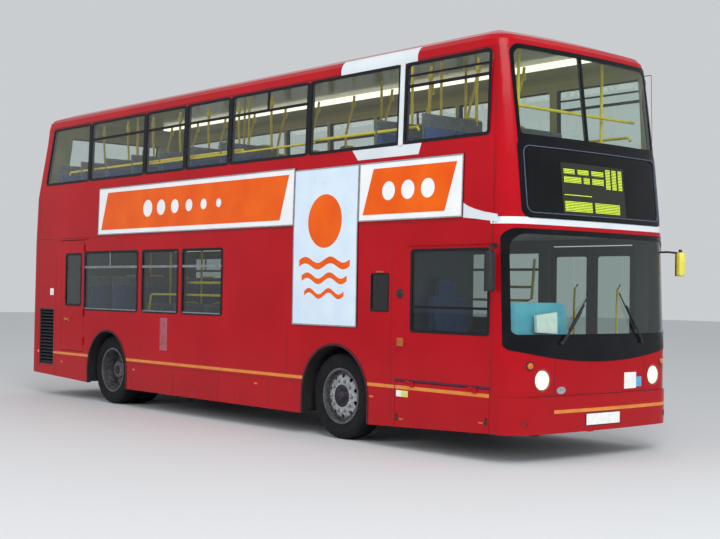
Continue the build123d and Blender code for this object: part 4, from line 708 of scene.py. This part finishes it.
# Upper windscreen border and the black panel down to the display, with the grey edge of the display's glass
half, bottom, top = UPPER_SCREEN
rounded("upper_screen_border", [
    screen_border(UPPER_SCREEN, (0.02, -0.02, 0.036, 0.05, 0.10), (-0.014, 0.022, -0.008, 0.04, 0.09), 0.006),
    screen_border(DESTINATION, (0.028, -0.026, 0.03, 0.09, 0.06), (-0.02, 0.02, -0.02, 0.08, 0.08), 0.007),
    strip(on_front, -half - 0.02, half + 0.02, DESTINATION[2] - 0.02, bottom + 0.02, 0.004, 0.006, 28)], GLOSS_BLACK)
rounded("display_bead", screen_border(DESTINATION, (-0.022, 0.022, -0.022, 0.08, 0.08),
                                      (-0.032, 0.032, -0.032, 0.07, 0.07), 0.011), BEAD_GREY)
piece("upper_screen_split", strip(on_front, -0.112, -0.088, bottom, top, 0.004, 0.012), FRAME_BLACK)
half, bottom, top = REAR_WINDOW
corners = rectangle(-half, half, bottom, top)
outer, inner = divide_pair(round_polygon(grow(corners, 0.03), WINDOW_RADIUS + 0.03, 8),
                           round_polygon(grow(corners, -0.018), 0.02, 8), 0.1)
rounded("rear_window_rubber", ring(on_rear, outer, inner, 0.006, 0.006), FRAME_BLACK)


# Livery

for side, name in SIDES:
    piece(name + "_white_sash", [
        rows_on(on_side(side), slanted(4.030, EAVE + 0.145, (2.36, 2.34), (3.60, 3.58), 10), 2),
        rows_on(on_side(side), slanted(3.062, 3.176, (2.70, 2.60), (3.66, 3.70), 3), 2),
        rows_on(on_side(side), slanted(3.17, 4.04, (3.352, 3.352), (3.418, 3.418), 6), 1, 0.0105, 0.006)],
        WHITE_PAINT)

# White flash: from the front display board round the offside corner and across the nose
straight = WIDTH / 2 - level(2.34, 3) - FRONT_CORNER
bend = [straight + FRONT_CORNER * sin(radians(89) * k / 10) for k in range(1, 11)]
across = [-y for y in reversed(bend)] + [-straight + 2 * straight * k / 30 for k in range(31)] + bend
rounded("white_flash", [
    band_on(off, [(4.335, 2.385, 2.53), (4.40, 2.378, 2.495), (4.50, 2.368, 2.462), (4.62, 2.352, 2.432),
                  (4.74, 2.338, 2.412), (4.80, 2.330, 2.402)]),
    band_on(on_front, [(y, 2.312, 2.380) for y in across])], WHITE_PAINT)


def skirt_stripe(name, place, spans, body="bus_body"):
    piece(name, bars(place, [(x0, x1, 0.634, 0.670) for x0, x1 in spans], FILM, FILM_DEPTH), STRIPE, body)


front_gap, rear_gap = [sqrt((radius + LIP_REACH) ** 2 - (0.652 - TYRE_R) ** 2) for x, radius in ARCHES]
skirt_stripe("offside_stripe", off, (
    (REAR_SEAM, -4.79), (-4.33, REAR_AXLE_X - rear_gap), (REAR_AXLE_X + rear_gap, FRONT_AXLE_X - front_gap),
    (FRONT_AXLE_X + front_gap, 3.358)))
skirt_stripe("flap_stripe", off, ((3.372, 4.72),), "offside_flap")
skirt_stripe("nearside_stripe", near, (
    (REAR_SEAM, REAR_AXLE_X - rear_gap), (REAR_AXLE_X + rear_gap, 0.24), (1.46, FRONT_AXLE_X - front_gap),
    (FRONT_AXLE_X + front_gap, 3.29), (4.57, FRONT_SEAM)))
rounded("bumper_stripe", strip(on_bumper, -0.72, 1.20, 0.483, 0.517, count=48), STRIPE)


# Display boards: plain shapes in the colours of the boards' printing, laid on in layers

REAR_BOARD = (-3.0, 1.596, 2.385, 3.05)
MIDDLE_BOARD = (1.602, 2.743, 1.25, 3.02)
FRONT_BOARD = (2.749, 4.33, 2.39, 3.02)
SHAPE_LAYER, DOT_LAYER = 0.0008, 0.0016


def on_board(x, z, off_board=0.0):
    return off(x, z, off_board + 0.010 + FILM)


def disc(x, z, radius, layer, count=40):
    turns = [2 * pi * k / count for k in range(count)]
    return film_on(on_board, [Vector((x + radius * cos(turn), z + radius * sin(turn))) for turn in turns], layer)


def wave(x0, x1, z, rise, width, turns, count=36):
    """Band that waves up and down."""
    found = []
    for k in range(count + 1):
        middle = z + rise * sin(2 * pi * turns * k / count)
        found.append((x0 + (x1 - x0) * k / count, middle - width / 2, middle + width / 2))
    return band_on(on_board, found, SHAPE_LAYER, 0.001)


piece("middle_board_ground", film_on(on_board, rectangle(*inset(MIDDLE_BOARD, 0.01)), 0.0), BOARD_ICE)
orange = []
# Orange fields with slanted ends. Columns: board, gap at the rear, gap at the front.
for (x0, x1, z0, z1), rear, front in ((REAR_BOARD, 0.09, 0.11), (FRONT_BOARD, 0.07, 0.09)):
    orange.append(film_on(on_board, [Vector(c) for c in (
        (x0 + rear, z0 + 0.07), (x1 - front - 0.16, z0 + 0.07), (x1 - front, z1 - 0.07),
        (x0 + rear + 0.16, z1 - 0.07))], SHAPE_LAYER))
x0, x1, z0, z1 = MIDDLE_BOARD
orange.append(disc((x0 + x1) / 2, 2.42, 0.30, SHAPE_LAYER))
orange += [wave(x0 + 0.12 + 0.05 * k, x1 - 0.12 - 0.05 * k, z, 0.035, 0.075 - 0.012 * k, 2)
           for k, z in enumerate((1.95, 1.78, 1.61))]
piece("board_orange_shapes", orange, BOARD_ORANGE)
x0, x1, z0, z1 = REAR_BOARD
dots = [disc(x0 + 1.35 + 0.34 * k, (z0 + z1) / 2, 0.115 - 0.012 * k, DOT_LAYER, 28) for k in range(6)]
x0, x1, z0, z1 = FRONT_BOARD
dots += [disc(x0 + 0.48 + 0.30 * k, (z0 + z1) / 2, 0.10, DOT_LAYER, 28) for k in range(3)]
piece("board_white_dots", dots, BOARD_WHITE)
piece("board_edging", [ring(off, *divide_pair(rectangle(*board), rectangle(*inset(board, 0.014)), 0.08), 0.0135, 0.0)
                       for board in (REAR_BOARD, MIDDLE_BOARD, FRONT_BOARD)], ALUMINIUM)


# Small things on the sides

for name, place, span, material, body in (
    ("skirt_plate_blank", off, (-1.29, -1.11, 0.82, 1.25), PLATE_PINK, "bus_body"),
    ("rear_label_blank", off, (-4.46, -4.35, 1.515, 1.615), PLATE_WHITE, "bus_body"),
    ("flap_label_white_blank", off, (3.39, 3.47, 0.555, 0.620), PLATE_WHITE, "offside_flap"),
    ("flap_label_yellow_blank", off, (3.47, 3.57, 0.555, 0.620), LABEL_YELLOW, "offside_flap"),
    # Strip along the top of the flap: the gap under the panel above, with painted shadow in it
    ("flap_seal", off, (3.36, 4.735, 0.7165, 0.740), FLAP_GAP_SHADOW, "bus_body"),
):
    piece(name, strip(place, *span, FILM, 0.002), material, body)


def upright_seam(place, x, low, high, width=0.005):
    """Thin sealed joint between panels."""
    return rows_on(place, slanted(low, high, (x - width / 2,) * 2, (x + width / 2,) * 2, 4), 1, 0.0007, 0.002)


def level_seam(place, x0, x1, z, width=0.005):
    return strip(place, x0, x1, z - width / 2, z + width / 2, 0.0007, 0.002)


seams = []
for place, skirt_end, skirt_joints in ((off, FRONT_AXLE_X - 0.62, (-2.0, -0.95, 0.10, 1.15)),
                                       (near, 0.24, (-2.0, -0.95))):
    seams += [upright_seam(place, FRONT_SEAM, 0.66, 4.04), upright_seam(place, REAR_SEAM, 0.32, 2.98),
              level_seam(place, REAR_SEAM + 0.35, FRONT_SEAM, EAVE - 0.004, 0.008),
              level_seam(place, REAR_SEAM, FRONT_SEAM, DECK_SEAM),
              level_seam(place, REAR_AXLE_X + 0.62, skirt_end, 0.60)]
    seams += [upright_seam(place, x, 0.26, 0.60) for x in skirt_joints]
seams += [upright_seam(off, 3.30, 0.30, 2.34), upright_seam(off, 1.50, 0.67, 1.24),
          upright_seam(off, -4.28, 0.32, 2.34)]
piece("panel_seams", seams, SEAM)

CAP = ((0, 12), (36, 12), (42, 8), (44, 4), (52, 3), (54, -4))
LATCH = ((0, 10), (14, 10), (18, 6), (20, -2))
rounded("vent_cap", turned(off, 3.426, 1.624, CAP), PLASTIC_BLACK)
piece("side_repeater", strip(off, 3.405, 3.497, 1.078, 1.165, 0.016, 0.018), AMBER_DULL)
piece("window_marker", strip(off, 3.055, 3.170, 1.842, 1.860, 0.010, 0.012), AMBER_DULL)
latches = []
for x, z in ((3.40, 0.325), (4.68, 0.385)):
    latches += [turned(off, x, z, LATCH, 20), strip(off, x - 0.011, x + 0.011, z + 0.02, z + 0.05, 0.008, 0.010)]
piece("flap_latches", latches, PLASTIC_BLACK, "offside_flap")
piece("flap_latch_marks", bars(off, ((3.44, 3.50, 0.318, 0.330), (4.58, 4.64, 0.380, 0.392)), FILM, 0.002), AMBER,
      "offside_flap")
piece("emergency_handle", bars(off, ((-3.97, -3.83, 1.155, 1.175),), 0.020, 0.008)
      + bars(off, ((-3.97, -3.955, 1.14, 1.19), (-3.845, -3.83, 1.14, 1.19)), 0.020, 0.022), AMBER, "emergency_door")
piece("side_reflectors", [
    strip(place, x - 0.03, x + 0.03, 0.515, 0.535, 0.004, 0.006)
    for x, places in ((-4.05, (off, near)), (-1.95, (off, near)), (0.9, (off,)), (3.0, (off, near)))
    for place in places], AMBER)


# Nose

INDICATOR = ((0, 20), (15, 19), (28, 14), (34, 5), (35, -20))
INDICATOR_BEZEL = ((35, -20), (36, 6), (42, 7), (46, 2), (47, -10))
HEADLAMPS = (
    ("lens", LAMP_LIT, ((0, 12), (30, 11.5), (60, 9), (80, 4), (90, -4), (91.5, -12))),
    ("collar", CHROME, ((91.5, -12), (92, -2), (97, 1), (98.5, -20))),
)
HEADLAMP_BOWL = ((99, -55), (98, -4), (104, 3), (113, 2), (114, -6))
for side, name in SIDES:
    centre = on_front(side * 0.871, 0.81)
    axis = (1, 0.06 * side, 0)
    rounded(name + "_headlamp_surround", lathe(HEADLAMP_BOWL, centre, axis, 40), LAMP_RED, replaces=("lamps",))
    for part, material, profile in HEADLAMPS:
        rounded(name + "_headlamp_" + part, lathe(profile, centre, axis, 40), material)
    rounded(name + "_front_indicator", turned(on_front, side * 1.03, 0.95, INDICATOR), AMBER)
    rounded(name + "_indicator_bezel", turned(on_front, side * 1.03, 0.95, INDICATOR_BEZEL), PLASTIC_BLACK)

piece("number_plate_front_blank", strip(on_bumper, -0.26, 0.26, 0.350, 0.461, 0.005, 0.004, 10), PLATE_WHITE)
piece("number_plate_holder", strip(on_bumper, -0.272, 0.272, 0.340, 0.471, 0.002, 0.003, 10), PLASTIC_BLACK)
piece("front_sticker_white_blank", strip(on_front, 0.355, 0.56, 0.685, 0.85, FILM, 0.002, 4), PLATE_WHITE)
piece("front_sticker_blue_blank", strip(on_front, 0.56, 0.655, 0.70, 0.80, FILM, 0.002, 3), STICKER_BLUE)
turns = [2 * pi * k / 32 for k in range(32)]
oval = [Vector((-0.615 + 0.062 * cos(turn), 0.705 + 0.036 * sin(turn))) for turn in turns]
piece("front_oval_badge_blank", band_on(on_front, [
    (y, *crossings(oval, y)) for y in sorted({round(p.x, 5) for p in oval})], 0.004, 0.006), CHROME)
rounded("nose_seams", [strip(on_front, -1.24, 1.24, 0.645, 0.655, 0.0015, 0.004, 40)] + [
    rows_on(on_front, [(0.66, y, y + 0.006), (0.985, y, y + 0.006)], 1, 0.0009, 0.002) for y in (0.70, -0.706)], SEAM)
TOWING_CAP = ((0, -1), (26, -1), (28, 3), (33, 3), (34, -4))
rounded("bumper_end_caps", [turned(on_bumper, y, 0.40, TOWING_CAP, 24) for y in (-1.0864, 1.0864)], PLASTIC_BLACK)

# Blank route display: rows of lit blocks with nothing on them. Columns: bottom, top, then the blocks' ends
DISPLAY_ROWS = (
    (2.835, 2.890, -0.50, -0.34, -0.30, -0.13, -0.09, 0.10),
    (2.750, 2.812, -0.50, -0.25, -0.21, -0.12, -0.08, 0.10),
    (2.710, 2.915, 0.14, 0.21, 0.24, 0.31, 0.34, 0.41),
    (2.622, 2.634, -0.51, -0.10),
    (2.462, 2.562, -0.51, -0.10, -0.06, 0.34),
)
rounded("route_display_fields", [
    strip(on_front, y0, y1, low, high, 0.0025, 0.004, 4)
    for low, high, *ends in DISPLAY_ROWS for y0, y1 in zip(ends[::2], ends[1::2])], DISPLAY_LIT)
rounded("route_display_blind", strip(on_front, -0.54, 0.44, 2.435, 2.945, 0.0015, 0.003, 10), DISPLAY_DULL)


def wiper(base_y, tip_y, low=1.165, high=1.66):
    """Wiper: spindle cap, arm, parallel link and blade."""
    along = Vector((tip_y - base_y, high - low)).normalized()

    def at(share, shift=0.0, out=0.0):
        y = base_y + (tip_y - base_y) * share
        return on_front(y + along.y * shift, low + (high - low) * share - along.x * shift, out)
    blade = [0.25 + 0.75 * s / 10 for s in range(11)]
    return join([
        lathe(((0, 34), (12, 33), (17, 27), (19, 0)), at(0.0), (1, 0, 0), 20),
        tube([at(s / 8, 0.0, 0.026 + 0.006 * sin(pi * s / 8)) for s in range(7)], 0.0075, 8),
        tube([at(0.02 + s / 8, 0.022, 0.022) for s in range(6)], 0.005, 8),
        tube([at(0.62, -0.002, 0.022), at(0.66, -0.006, 0.016)], 0.009, 8),
        tube([at(share, 0.0, 0.012) for share in blade], 0.006, 8),
        tube([at(share, 0.0, 0.006) for share in blade], 0.0035, 6)])


rounded("wiper_pair", [wiper(-0.63, -0.20), wiper(0.63, 0.27)], PLASTIC_BLACK, replaces=("wipers",))


def mirror_head(side, x, low, high, outer=1.40):
    """Outside mirror: moulded shell, glass set in its rear face, and a swan-necked arm from the corner pillar."""
    y0, y1 = sorted((side * (outer - 0.095), side * outer))
    shell = soft_box(x - 0.032, x + 0.040, y0, y1, low, high, 0.026, 4)
    lip = soft_box(x - 0.040, x - 0.030, y0 + 0.004, y1 - 0.004, low + 0.004, high - 0.004, 0.004, 1)
    glass = soft_box(x - 0.043, x - 0.038, y0 + 0.012, y1 - 0.012, low + 0.012, high - 0.012, 0.002, 1)
    foot_x, foot_z, neck = 4.77, 2.10, side * 1.35
    arm = tube([(foot_x, side * 1.22, foot_z), (foot_x + 0.01, side * 1.27, foot_z + 0.012),
                ((foot_x + x) / 2, side * 1.315, foot_z + 0.015), (x - 0.01, side * 1.345, foot_z),
                (x, neck, high - 0.02), (x, neck, high - 0.12)], 0.011, 12)
    foot = soft_box(foot_x - 0.020, foot_x + 0.020, *sorted((side * 1.235, side * 1.265)),
                    foot_z - 0.025, foot_z + 0.025, 0.008, 2)
    clamp = tube([(x, neck, high - 0.02), (x, neck, high + 0.03)], 0.018, 12)
    return shell, join([lip, arm, foot, clamp]), glass


# The offside mirror is black; the nearside one reaches further forward and is yellow
shells, arms, glasses = zip(mirror_head(-1, 4.80, 1.655, 2.045), mirror_head(1, 5.04, 1.850, 2.110))
rounded("offside_mirror_shell", shells[0], PLASTIC_BLACK, replaces=("mirrors",))
rounded("nearside_mirror_shell", shells[1], MIRROR_YELLOW)
rounded("mirror_arms", list(arms), PLASTIC_BLACK)
piece("mirror_glasses", list(glasses), CHROME)


# Tail

TAIL_LENS = ((0, 22), (15, 21), (30, 16), (38, 7), (38.5, 3), (44.5, 4), (45.5, -30))
piece("rear_lamps_black_panel", [
    rows_on(on_rear, [(z, y - 0.075, y + 0.075) for z in (0.53, 0.91)], 3, 0.003, 0.005) for y in (-1.08, 1.08)],
    PLASTIC_BLACK)
for side, name in SIDES:
    for z, kind, material in ((0.60, "fog", RED_LENS), (0.72, "tail", RED_LENS), (0.84, "turn", AMBER)):
        rounded(name + "_" + kind + "_lamp", turned(on_rear, side * 1.08, z, TAIL_LENS), material)
piece("rear_number_plate_blank", strip(on_rear, -0.26, 0.26, 0.36, 0.455, 0.006, 0.008, 8), LABEL_YELLOW)
piece("rear_seams", strip(on_rear, -1.2, 1.2, DECK_SEAM - 0.003, DECK_SEAM + 0.003, 0.001, 0.003, 24), SEAM)


# Wheels

# Half a tyre's section as (radius, distance from its middle): bead, sidewall and shoulder, then the grooved tread
TYRE_WALL = ((301, 116.5), (306, 121), (314, 122.5), (322, 126), (326, 129.5), (330, 129.5), (334, 128), (350, 132.5),
             (372, 136.5), (398, 138), (402, 139.2), (408, 139.2), (412, 137.5), (432, 136), (450, 131), (463, 123.5),
             (471.5, 112), (475, 100))
TREAD = ((476.5, 86), (466, 84), (466, 75), (477, 73), (477.8, 34), (467, 32), (467, 23), (478, 21))
# Turned fittings of the wheels: number of sides, then the profile
NUT = ((16, ((0, 4), (20, 4), (21, 0))), (6, ((0, 24), (14, 24), (16.5, 21), (16.5, 3))),
       (12, ((0, 31), (8, 31), (9.5, 29), (9.5, 22))))
HUB_BOLT = ((6, ((0, 12), (8, 12), (9, 9), (9, -6))),)
HUB_CAP = ((0, 20), (40, 19), (58, 12), (66, 2), (67, -6))
FRONT_FLANGE = ((0, 6), (118, 6), (124, 3), (124, -4))


def tyre(x, y, segments=120, notch=0.006):
    """Tyre with bead and sidewall rings, grooved tread and cross notches in its shoulders."""
    half = TYRE_WALL + TREAD
    profile = half + tuple((r, -away) for r, away in reversed(half))
    verts, faces = lathe(profile, (x, y, TYRE_R), (0, 1, 0), segments, closed=True)
    shoulder = range(len(TYRE_WALL) - 5, len(TYRE_WALL) + 1)
    for i in range(len(profile)):
        if min(i, len(profile) - 1 - i) in shoulder:
            for k in range(i * segments, (i + 1) * segments, 3):
                inward = Vector((x - verts[k].x, 0, TYRE_R - verts[k].z)).normalized()
                verts[k] += inward * notch
    return verts, faces


def round_wheel(x, y, side, circle_radius, count, start, fittings):
    """Small turned fittings spread round a wheel."""
    made = []
    for k in range(count):
        angle = 2 * pi * (k + start) / count
        centre = (x + circle_radius * sin(angle), y, TYRE_R + circle_radius * cos(angle))
        made += [lathe(profile, centre, (0, side, 0), sides) for sides, profile in fittings]
    return made


# Columns: end of the bus, tyres, axle, distances of the tyres, of the nuts' face and of the hub cap from the middle
WHEELS = (
    ("front_", "_tyre", FRONT_AXLE_X, (TRACK_HALF,), TRACK_HALF + 0.104, TRACK_HALF + 0.131),
    ("rear_", "_tyres", REAR_AXLE_X, (TRACK_HALF, TRACK_HALF - TWIN_SPACING), TRACK_HALF - 0.141, TRACK_HALF + 0.044),
)
for side, name in SIDES:
    for end, ending, x, tyre_places, *_ in WHEELS:
        tyres = end + name + ending
        rounded(tyres + "_detailed", [tyre(x, side * y) for y in tyre_places], TYRE, end + name + "_wheel", (tyres,))
for side, name in SIDES:
    for end, _, x, _, nut_place, cap_place in WHEELS:
        body = end + name + "_wheel"
        rounded(body + "_nuts", round_wheel(x, side * nut_place, side, 0.1675, 10, 0.5, NUT), NUT_STEEL, body)
        hub = [lathe(HUB_CAP, (x, side * cap_place, TYRE_R), (0, side, 0), 36)]
        hub += round_wheel(x, side * (cap_place - 0.022), side, 0.088, 8, 0.0, HUB_BOLT)
        if end == "front_":
            hub.insert(0, lathe(FRONT_FLANGE, (x, side * nut_place, TYRE_R), (0, side, 0), 48))
        rounded(end + name + "_hub_cap", hub, HUB_DARK, body)


# Doors

DOOR_Y = 1.248
# Inside grab handle, as (distance from the middle of the bus, height)
DOOR_HANDLE = ((1.206, 0.95), (1.160, 0.99), (1.150, 1.20), (1.150, 1.50), (1.160, 1.71), (1.206, 1.75))


def brick(x0, x1, y0, y1, z0, z1):
    verts = [Vector((x, y, z)) for x in (x0, x1) for y in (y0, y1) for z in (z0, z1)]
    return verts, [(0, 1, 3, 2), (4, 6, 7, 5), (0, 4, 5, 1), (2, 3, 7, 6), (0, 2, 6, 4), (1, 5, 7, 3)]


def on_door(x, z, off_door):
    return Vector((x, DOOR_Y + off_door, z))


for x0, x1, leaf in ((3.933, 4.536, "entrance_front_leaf"), (3.324, 3.927, "entrance_rear_leaf"),
                     (0.853, 1.426, "exit_front_leaf"), (0.274, 0.847, "exit_rear_leaf")):
    edges = [brick(x, x + 0.018, DOOR_Y - 0.03, DOOR_Y + 0.004, 0.345, 2.185) for x in (x0, x1 - 0.018)]
    loops = divide_pair(round_polygon(rectangle(x0 + 0.036, x1 - 0.036, 0.43, 2.12), 0.05),
                        round_polygon(rectangle(x0 + 0.072, x1 - 0.072, 0.475, 2.075), 0.03), 0.4)
    piece(leaf + "_edges", edges + [ring(on_door, *loops, 0.003, 0.014)], FRAME_BLACK, leaf)
    bar = tube([((x0 + x1) / 2 + 0.12, y, z) for y, z in DOOR_HANDLE], 0.013)
    rounded(leaf + "_handle", bar, RAIL_YELLOW, leaf)
piece("doorway_rubbers", [
    ring(near, *divide_pair(rectangle(x0 - 0.03, x1 + 0.03, 0.30, 2.235),
                            rectangle(x0 - 0.002, x1 + 0.002, 0.332, 2.202), 0.4), 0.004, 0.01)
    for x0, x1 in DOORWAYS], FRAME_BLACK)


# Cabin

SEAT_PITCH, SEAT_DEPTH = 735, 440
LOWER_EDGE, UPPER_EDGE = 1.185, 1.125
LOW_FLOOR, STEP_FLOOR, DECK = 0.33, 0.70, 2.40
SEATS = []
# Rows of seats, with ends in millimetres as in the frame. Columns: from, to, floor, side, outer edge.
for start, end, floor_z, side, edge in (
    (-1750, 160, LOW_FLOOR, -1, LOWER_EDGE), (-1750, 160, LOW_FLOOR, 1, LOWER_EDGE),
    (-3390, -2140, STEP_FLOOR, -1, LOWER_EDGE), (-4160, -2140, STEP_FLOOR, 1, LOWER_EDGE),
    (-4500, 450, DECK, -1, UPPER_EDGE), (2900, 4200, DECK, -1, UPPER_EDGE), (-4500, 4200, DECK, 1, UPPER_EDGE),
):
    count = int((end - start - SEAT_DEPTH) // SEAT_PITCH) + 1
    SEATS += [((start + i * SEAT_PITCH) / 1000, floor_z, side, edge) for i in range(count)]

# Outlines of one seat from its rear edge and the floor, and its handle from the aisle and the top
CUSHION = ((0.05, 0.375), (0.42, 0.39), (0.43, 0.445), (0.05, 0.432))
BACK = ((0.018, 0.45), (0.066, 0.45), (0.010, 0.96), (-0.030, 0.96))
SEAT_LINE = ((0.004, 0.352), (0.425, 0.372), (0.425, 0.388), (0.045, 0.375), (0.012, 0.44), (-0.036, 0.98),
             (-0.030, 1.08), (-0.050, 1.108), (-0.060, 1.09), (-0.054, 1.0), (-0.006, 0.44))
# Convex parts of that last outline
SEAT_SIDES = ((0, 1, 2, 3), (0, 3, 4, 10), (10, 4, 5, 9), (9, 5, 6, 7, 8))
SEAT_HANDLE = ((-0.045, 0.0, -0.02), (-0.05, 0.0, 0.028), (-0.05, 0.05, 0.04), (-0.05, 0.17, 0.04),
               (-0.05, 0.22, 0.028), (-0.045, 0.22, -0.02))
# How a pad narrows towards its ends. Columns: share of the rounded end, share of the outline.
PAD_ENDS = ((0.0, 0.55), (0.15, 0.80), (0.5, 0.94), (1.0, 1.0))


def pad(outline, radius, y0, y1, round_off=0.03):
    """Stuffed pad: one outline across the seat, drawn in towards both ends."""
    profile = round_polygon(outline, radius, 3)
    middle = sum(profile, Vector((0, 0))) / len(profile)
    laps = [(y0 + share * round_off, scale) for share, scale in PAD_ENDS]
    laps += [(y1 - share * round_off, scale) for share, scale in reversed(PAD_ENDS)]
    verts = []
    for y, scale in laps:
        verts += [Vector((q.x, y, q.y)) for q in [middle + (p - middle) * scale for p in profile]]
    return verts, hoops(len(laps), len(profile)) + caps(len(laps), len(profile))


def seat_parts(x, floor_z, side, edge):
    """Pads of one double seat, the moulded shell behind them, and the yellow handle on its corner."""
    cushion, back, line = [[(x + dx, floor_z + dz) for dx, dz in outline] for outline in (CUSHION, BACK, SEAT_LINE)]
    pads = []
    for k in (0, 1):
        inner = edge - 0.44 * (k + 1) + 0.008
        ends = sorted((side * inner, side * (inner + 0.424)))
        pads += [pad(cushion, 0.022, *ends), pad(back, 0.016, *ends)]
    n = len(line)
    verts = [Vector((px, y, pz)) for y in sorted((side * (edge - 0.88), side * edge)) for px, pz in line]
    faces = [(i, (i + 1) % n, (i + 1) % n + n, i + n) for i in range(n)]
    for part in SEAT_SIDES:
        faces += [part, tuple(i + n for i in (part[0], *reversed(part[1:])))]
    aisle = side * (edge - 0.84)
    handle = tube([(x + dx, aisle + side * dy, floor_z + 1.08 + dz) for dx, dy, dz in SEAT_HANDLE], 0.011, 8)
    return pads, (verts, faces), handle


for deck, on_deck in (("lower", False), ("upper", True)):
    pads, shells, handles = zip(*[seat_parts(*seat) for seat in SEATS if (seat[1] == DECK) == on_deck])
    rounded(deck + "_seat_pads", sum(pads, []), MOQUETTE, replaces=(deck + "_seats",))
    rounded(deck + "_seat_shells", list(shells), SEAT_SHELL)
    rounded(deck + "_seat_handles", list(handles), RAIL_YELLOW)

# Rails along the windows and across the front, and bowed poles from the seats up to the ceiling, with their couplings
POLE_R = 0.0165
rails = []
for side, spans in ((-1, ((-4.2, 0.35), (1.72, 3.52))), (1, ((-4.2, 4.55),))):
    y = side * 1.10
    rails += [tube([(x0, y, 3.33), (x0 + 0.03, y, 3.37), (x1 - 0.03, y, 3.37), (x1, y, 3.33)], POLE_R)
              for x0, x1 in spans]
    for x, floor_z, seat_side, edge in SEATS:
        if floor_z == DECK and seat_side == side:
            foot = side * (edge - 0.80)
            bend = floor_z + 1.66
            rails.append(tube([(x - 0.045, foot, floor_z + 1.05), (x - 0.045, foot, floor_z + 1.25),
                               (x - 0.02, foot + side * 0.03, floor_z + 1.45), (x + 0.03, foot + side * 0.06, bend),
                               (x + 0.04, foot + side * 0.065, 4.17)], POLE_R))
            coupling = (x + 0.032, foot + side * 0.061)
            rails.append(tube([(*coupling, bend - 0.035), (*coupling, bend + 0.035)], 0.029, 12))
rails.append(tube([(4.56, -1.14, 3.53), (4.56, 1.14, 3.53)], POLE_R))
rails += [tube([(4.50, y, 2.42), (4.50, y, 4.16)], POLE_R) for y in (-0.66, 0.66)]
rounded("upper_deck_rails", rails, RAIL_YELLOW)
rails = []
for side, x0, x1 in ((-1, -1.72, 0.10), (1, -1.72, 0.10), (1, 1.65, 3.12)):
    y = side * 1.17
    rails.append(tube([(x0, y, 1.34), (x0 + 0.04, y, 1.54), (x0 + 0.10, y, 1.56), (x1 - 0.10, y, 1.56),
                       (x1 - 0.04, y, 1.58), (x1, y, 2.05)], POLE_R))
    rails.append(tube([((x0 + x1) / 2, y - side * 0.03, 1.72), (x1, y - side * 0.03, 1.72)], POLE_R))
rounded("lower_deck_rails", rails, RAIL_YELLOW)
rounded("bell_pushes", [
    soft_box(x - 0.022, x + 0.022, y - 0.040, y - 0.012, floor_z + 1.1, floor_z + 1.18, 0.008, 2)
    for x, y, floor_z in ((-0.985, -0.28, LOW_FLOOR), (-1.72, 0.28, LOW_FLOOR), (-4.13, 0.28, STEP_FLOOR),
                          (0.20, 0.56, LOW_FLOOR))], RED_LENS)
piece("dash_card_blank", band_on(on_front, [(-0.915, 1.270, 1.435), (-0.77, 1.262, 1.450), (-0.635, 1.255, 1.465)],
                                 -0.030, 0.034), PLATE_WHITE)


# Floor, light and camera

# Lamps. Columns: name, place, size, power, what it points at.
LAMPS = (
    ("key_light", (16, -9, 14), 9, 2200, (0, 0, 2)),
    ("side_light", (-4, -18, 9), 9, 900, (0, 0, 2)),
    ("nose_light", (19, 1, 4), 5, 420, (5, 0, 1.5)),
)


def studio(size=60):
    """Plain pale floor and soft, even light."""
    mesh = bpy.data.meshes.new("floor")
    mesh.from_pydata([(-size, -size, 0), (size, -size, 0), (size, size, 0), (-size, size, 0)], [], [(0, 1, 2, 3)])
    made, tree = new_material("studio_floor_pale")
    surface(tree, {"Base Color": colour("D4D6D8"), "Roughness": 0.7})
    mesh.materials.append(made)
    place_object("floor", mesh)
    world = bpy.data.worlds.new("studio")
    world.use_nodes = True
    sky = world.node_tree.nodes["Background"].inputs
    sky["Color"].default_value = colour("E6E9EC")
    sky["Strength"].default_value = 0.75
    bpy.context.scene.world = world
    for name, place, width, power, target in LAMPS:
        light = bpy.data.lights.new(name, "AREA")
        light.size = width
        light.energy = power
        lamp = place_object(name, light)
        lamp.location = place
        lamp.rotation_euler = (Vector(target) - Vector(place)).to_track_quat("-Z", "Y").to_euler()
        # Only the key light may show as a highlight
        lamp.visible_glossy = name == "key_light"


def photo_camera(yaw=0.8648, pitch=0.0169, roll=0.0147):
    """Camera where the photographer stood, at head height ahead of the offside front corner."""
    forward = Vector((-sin(yaw) * cos(pitch), cos(yaw) * cos(pitch), sin(pitch)))
    right = Vector((cos(yaw), sin(yaw), 0))
    up = right.cross(forward)
    tilted_right = cos(roll) * right + sin(roll) * up
    tilted_up = -sin(roll) * right + cos(roll) * up
    data = bpy.data.cameras.new("photo_camera")
    data.sensor_width = 36
    data.lens = 62.70
    camera = place_object("photo_camera", data)
    turn = Matrix((tilted_right, tilted_up, -forward)).transposed().to_4x4()
    camera.matrix_world = Matrix.Translation((13.087, -10.046, 1.647)) @ turn
    bpy.context.scene.camera = camera


studio()
photo_camera()
bpy.context.scene.view_settings.view_transform = "Standard"
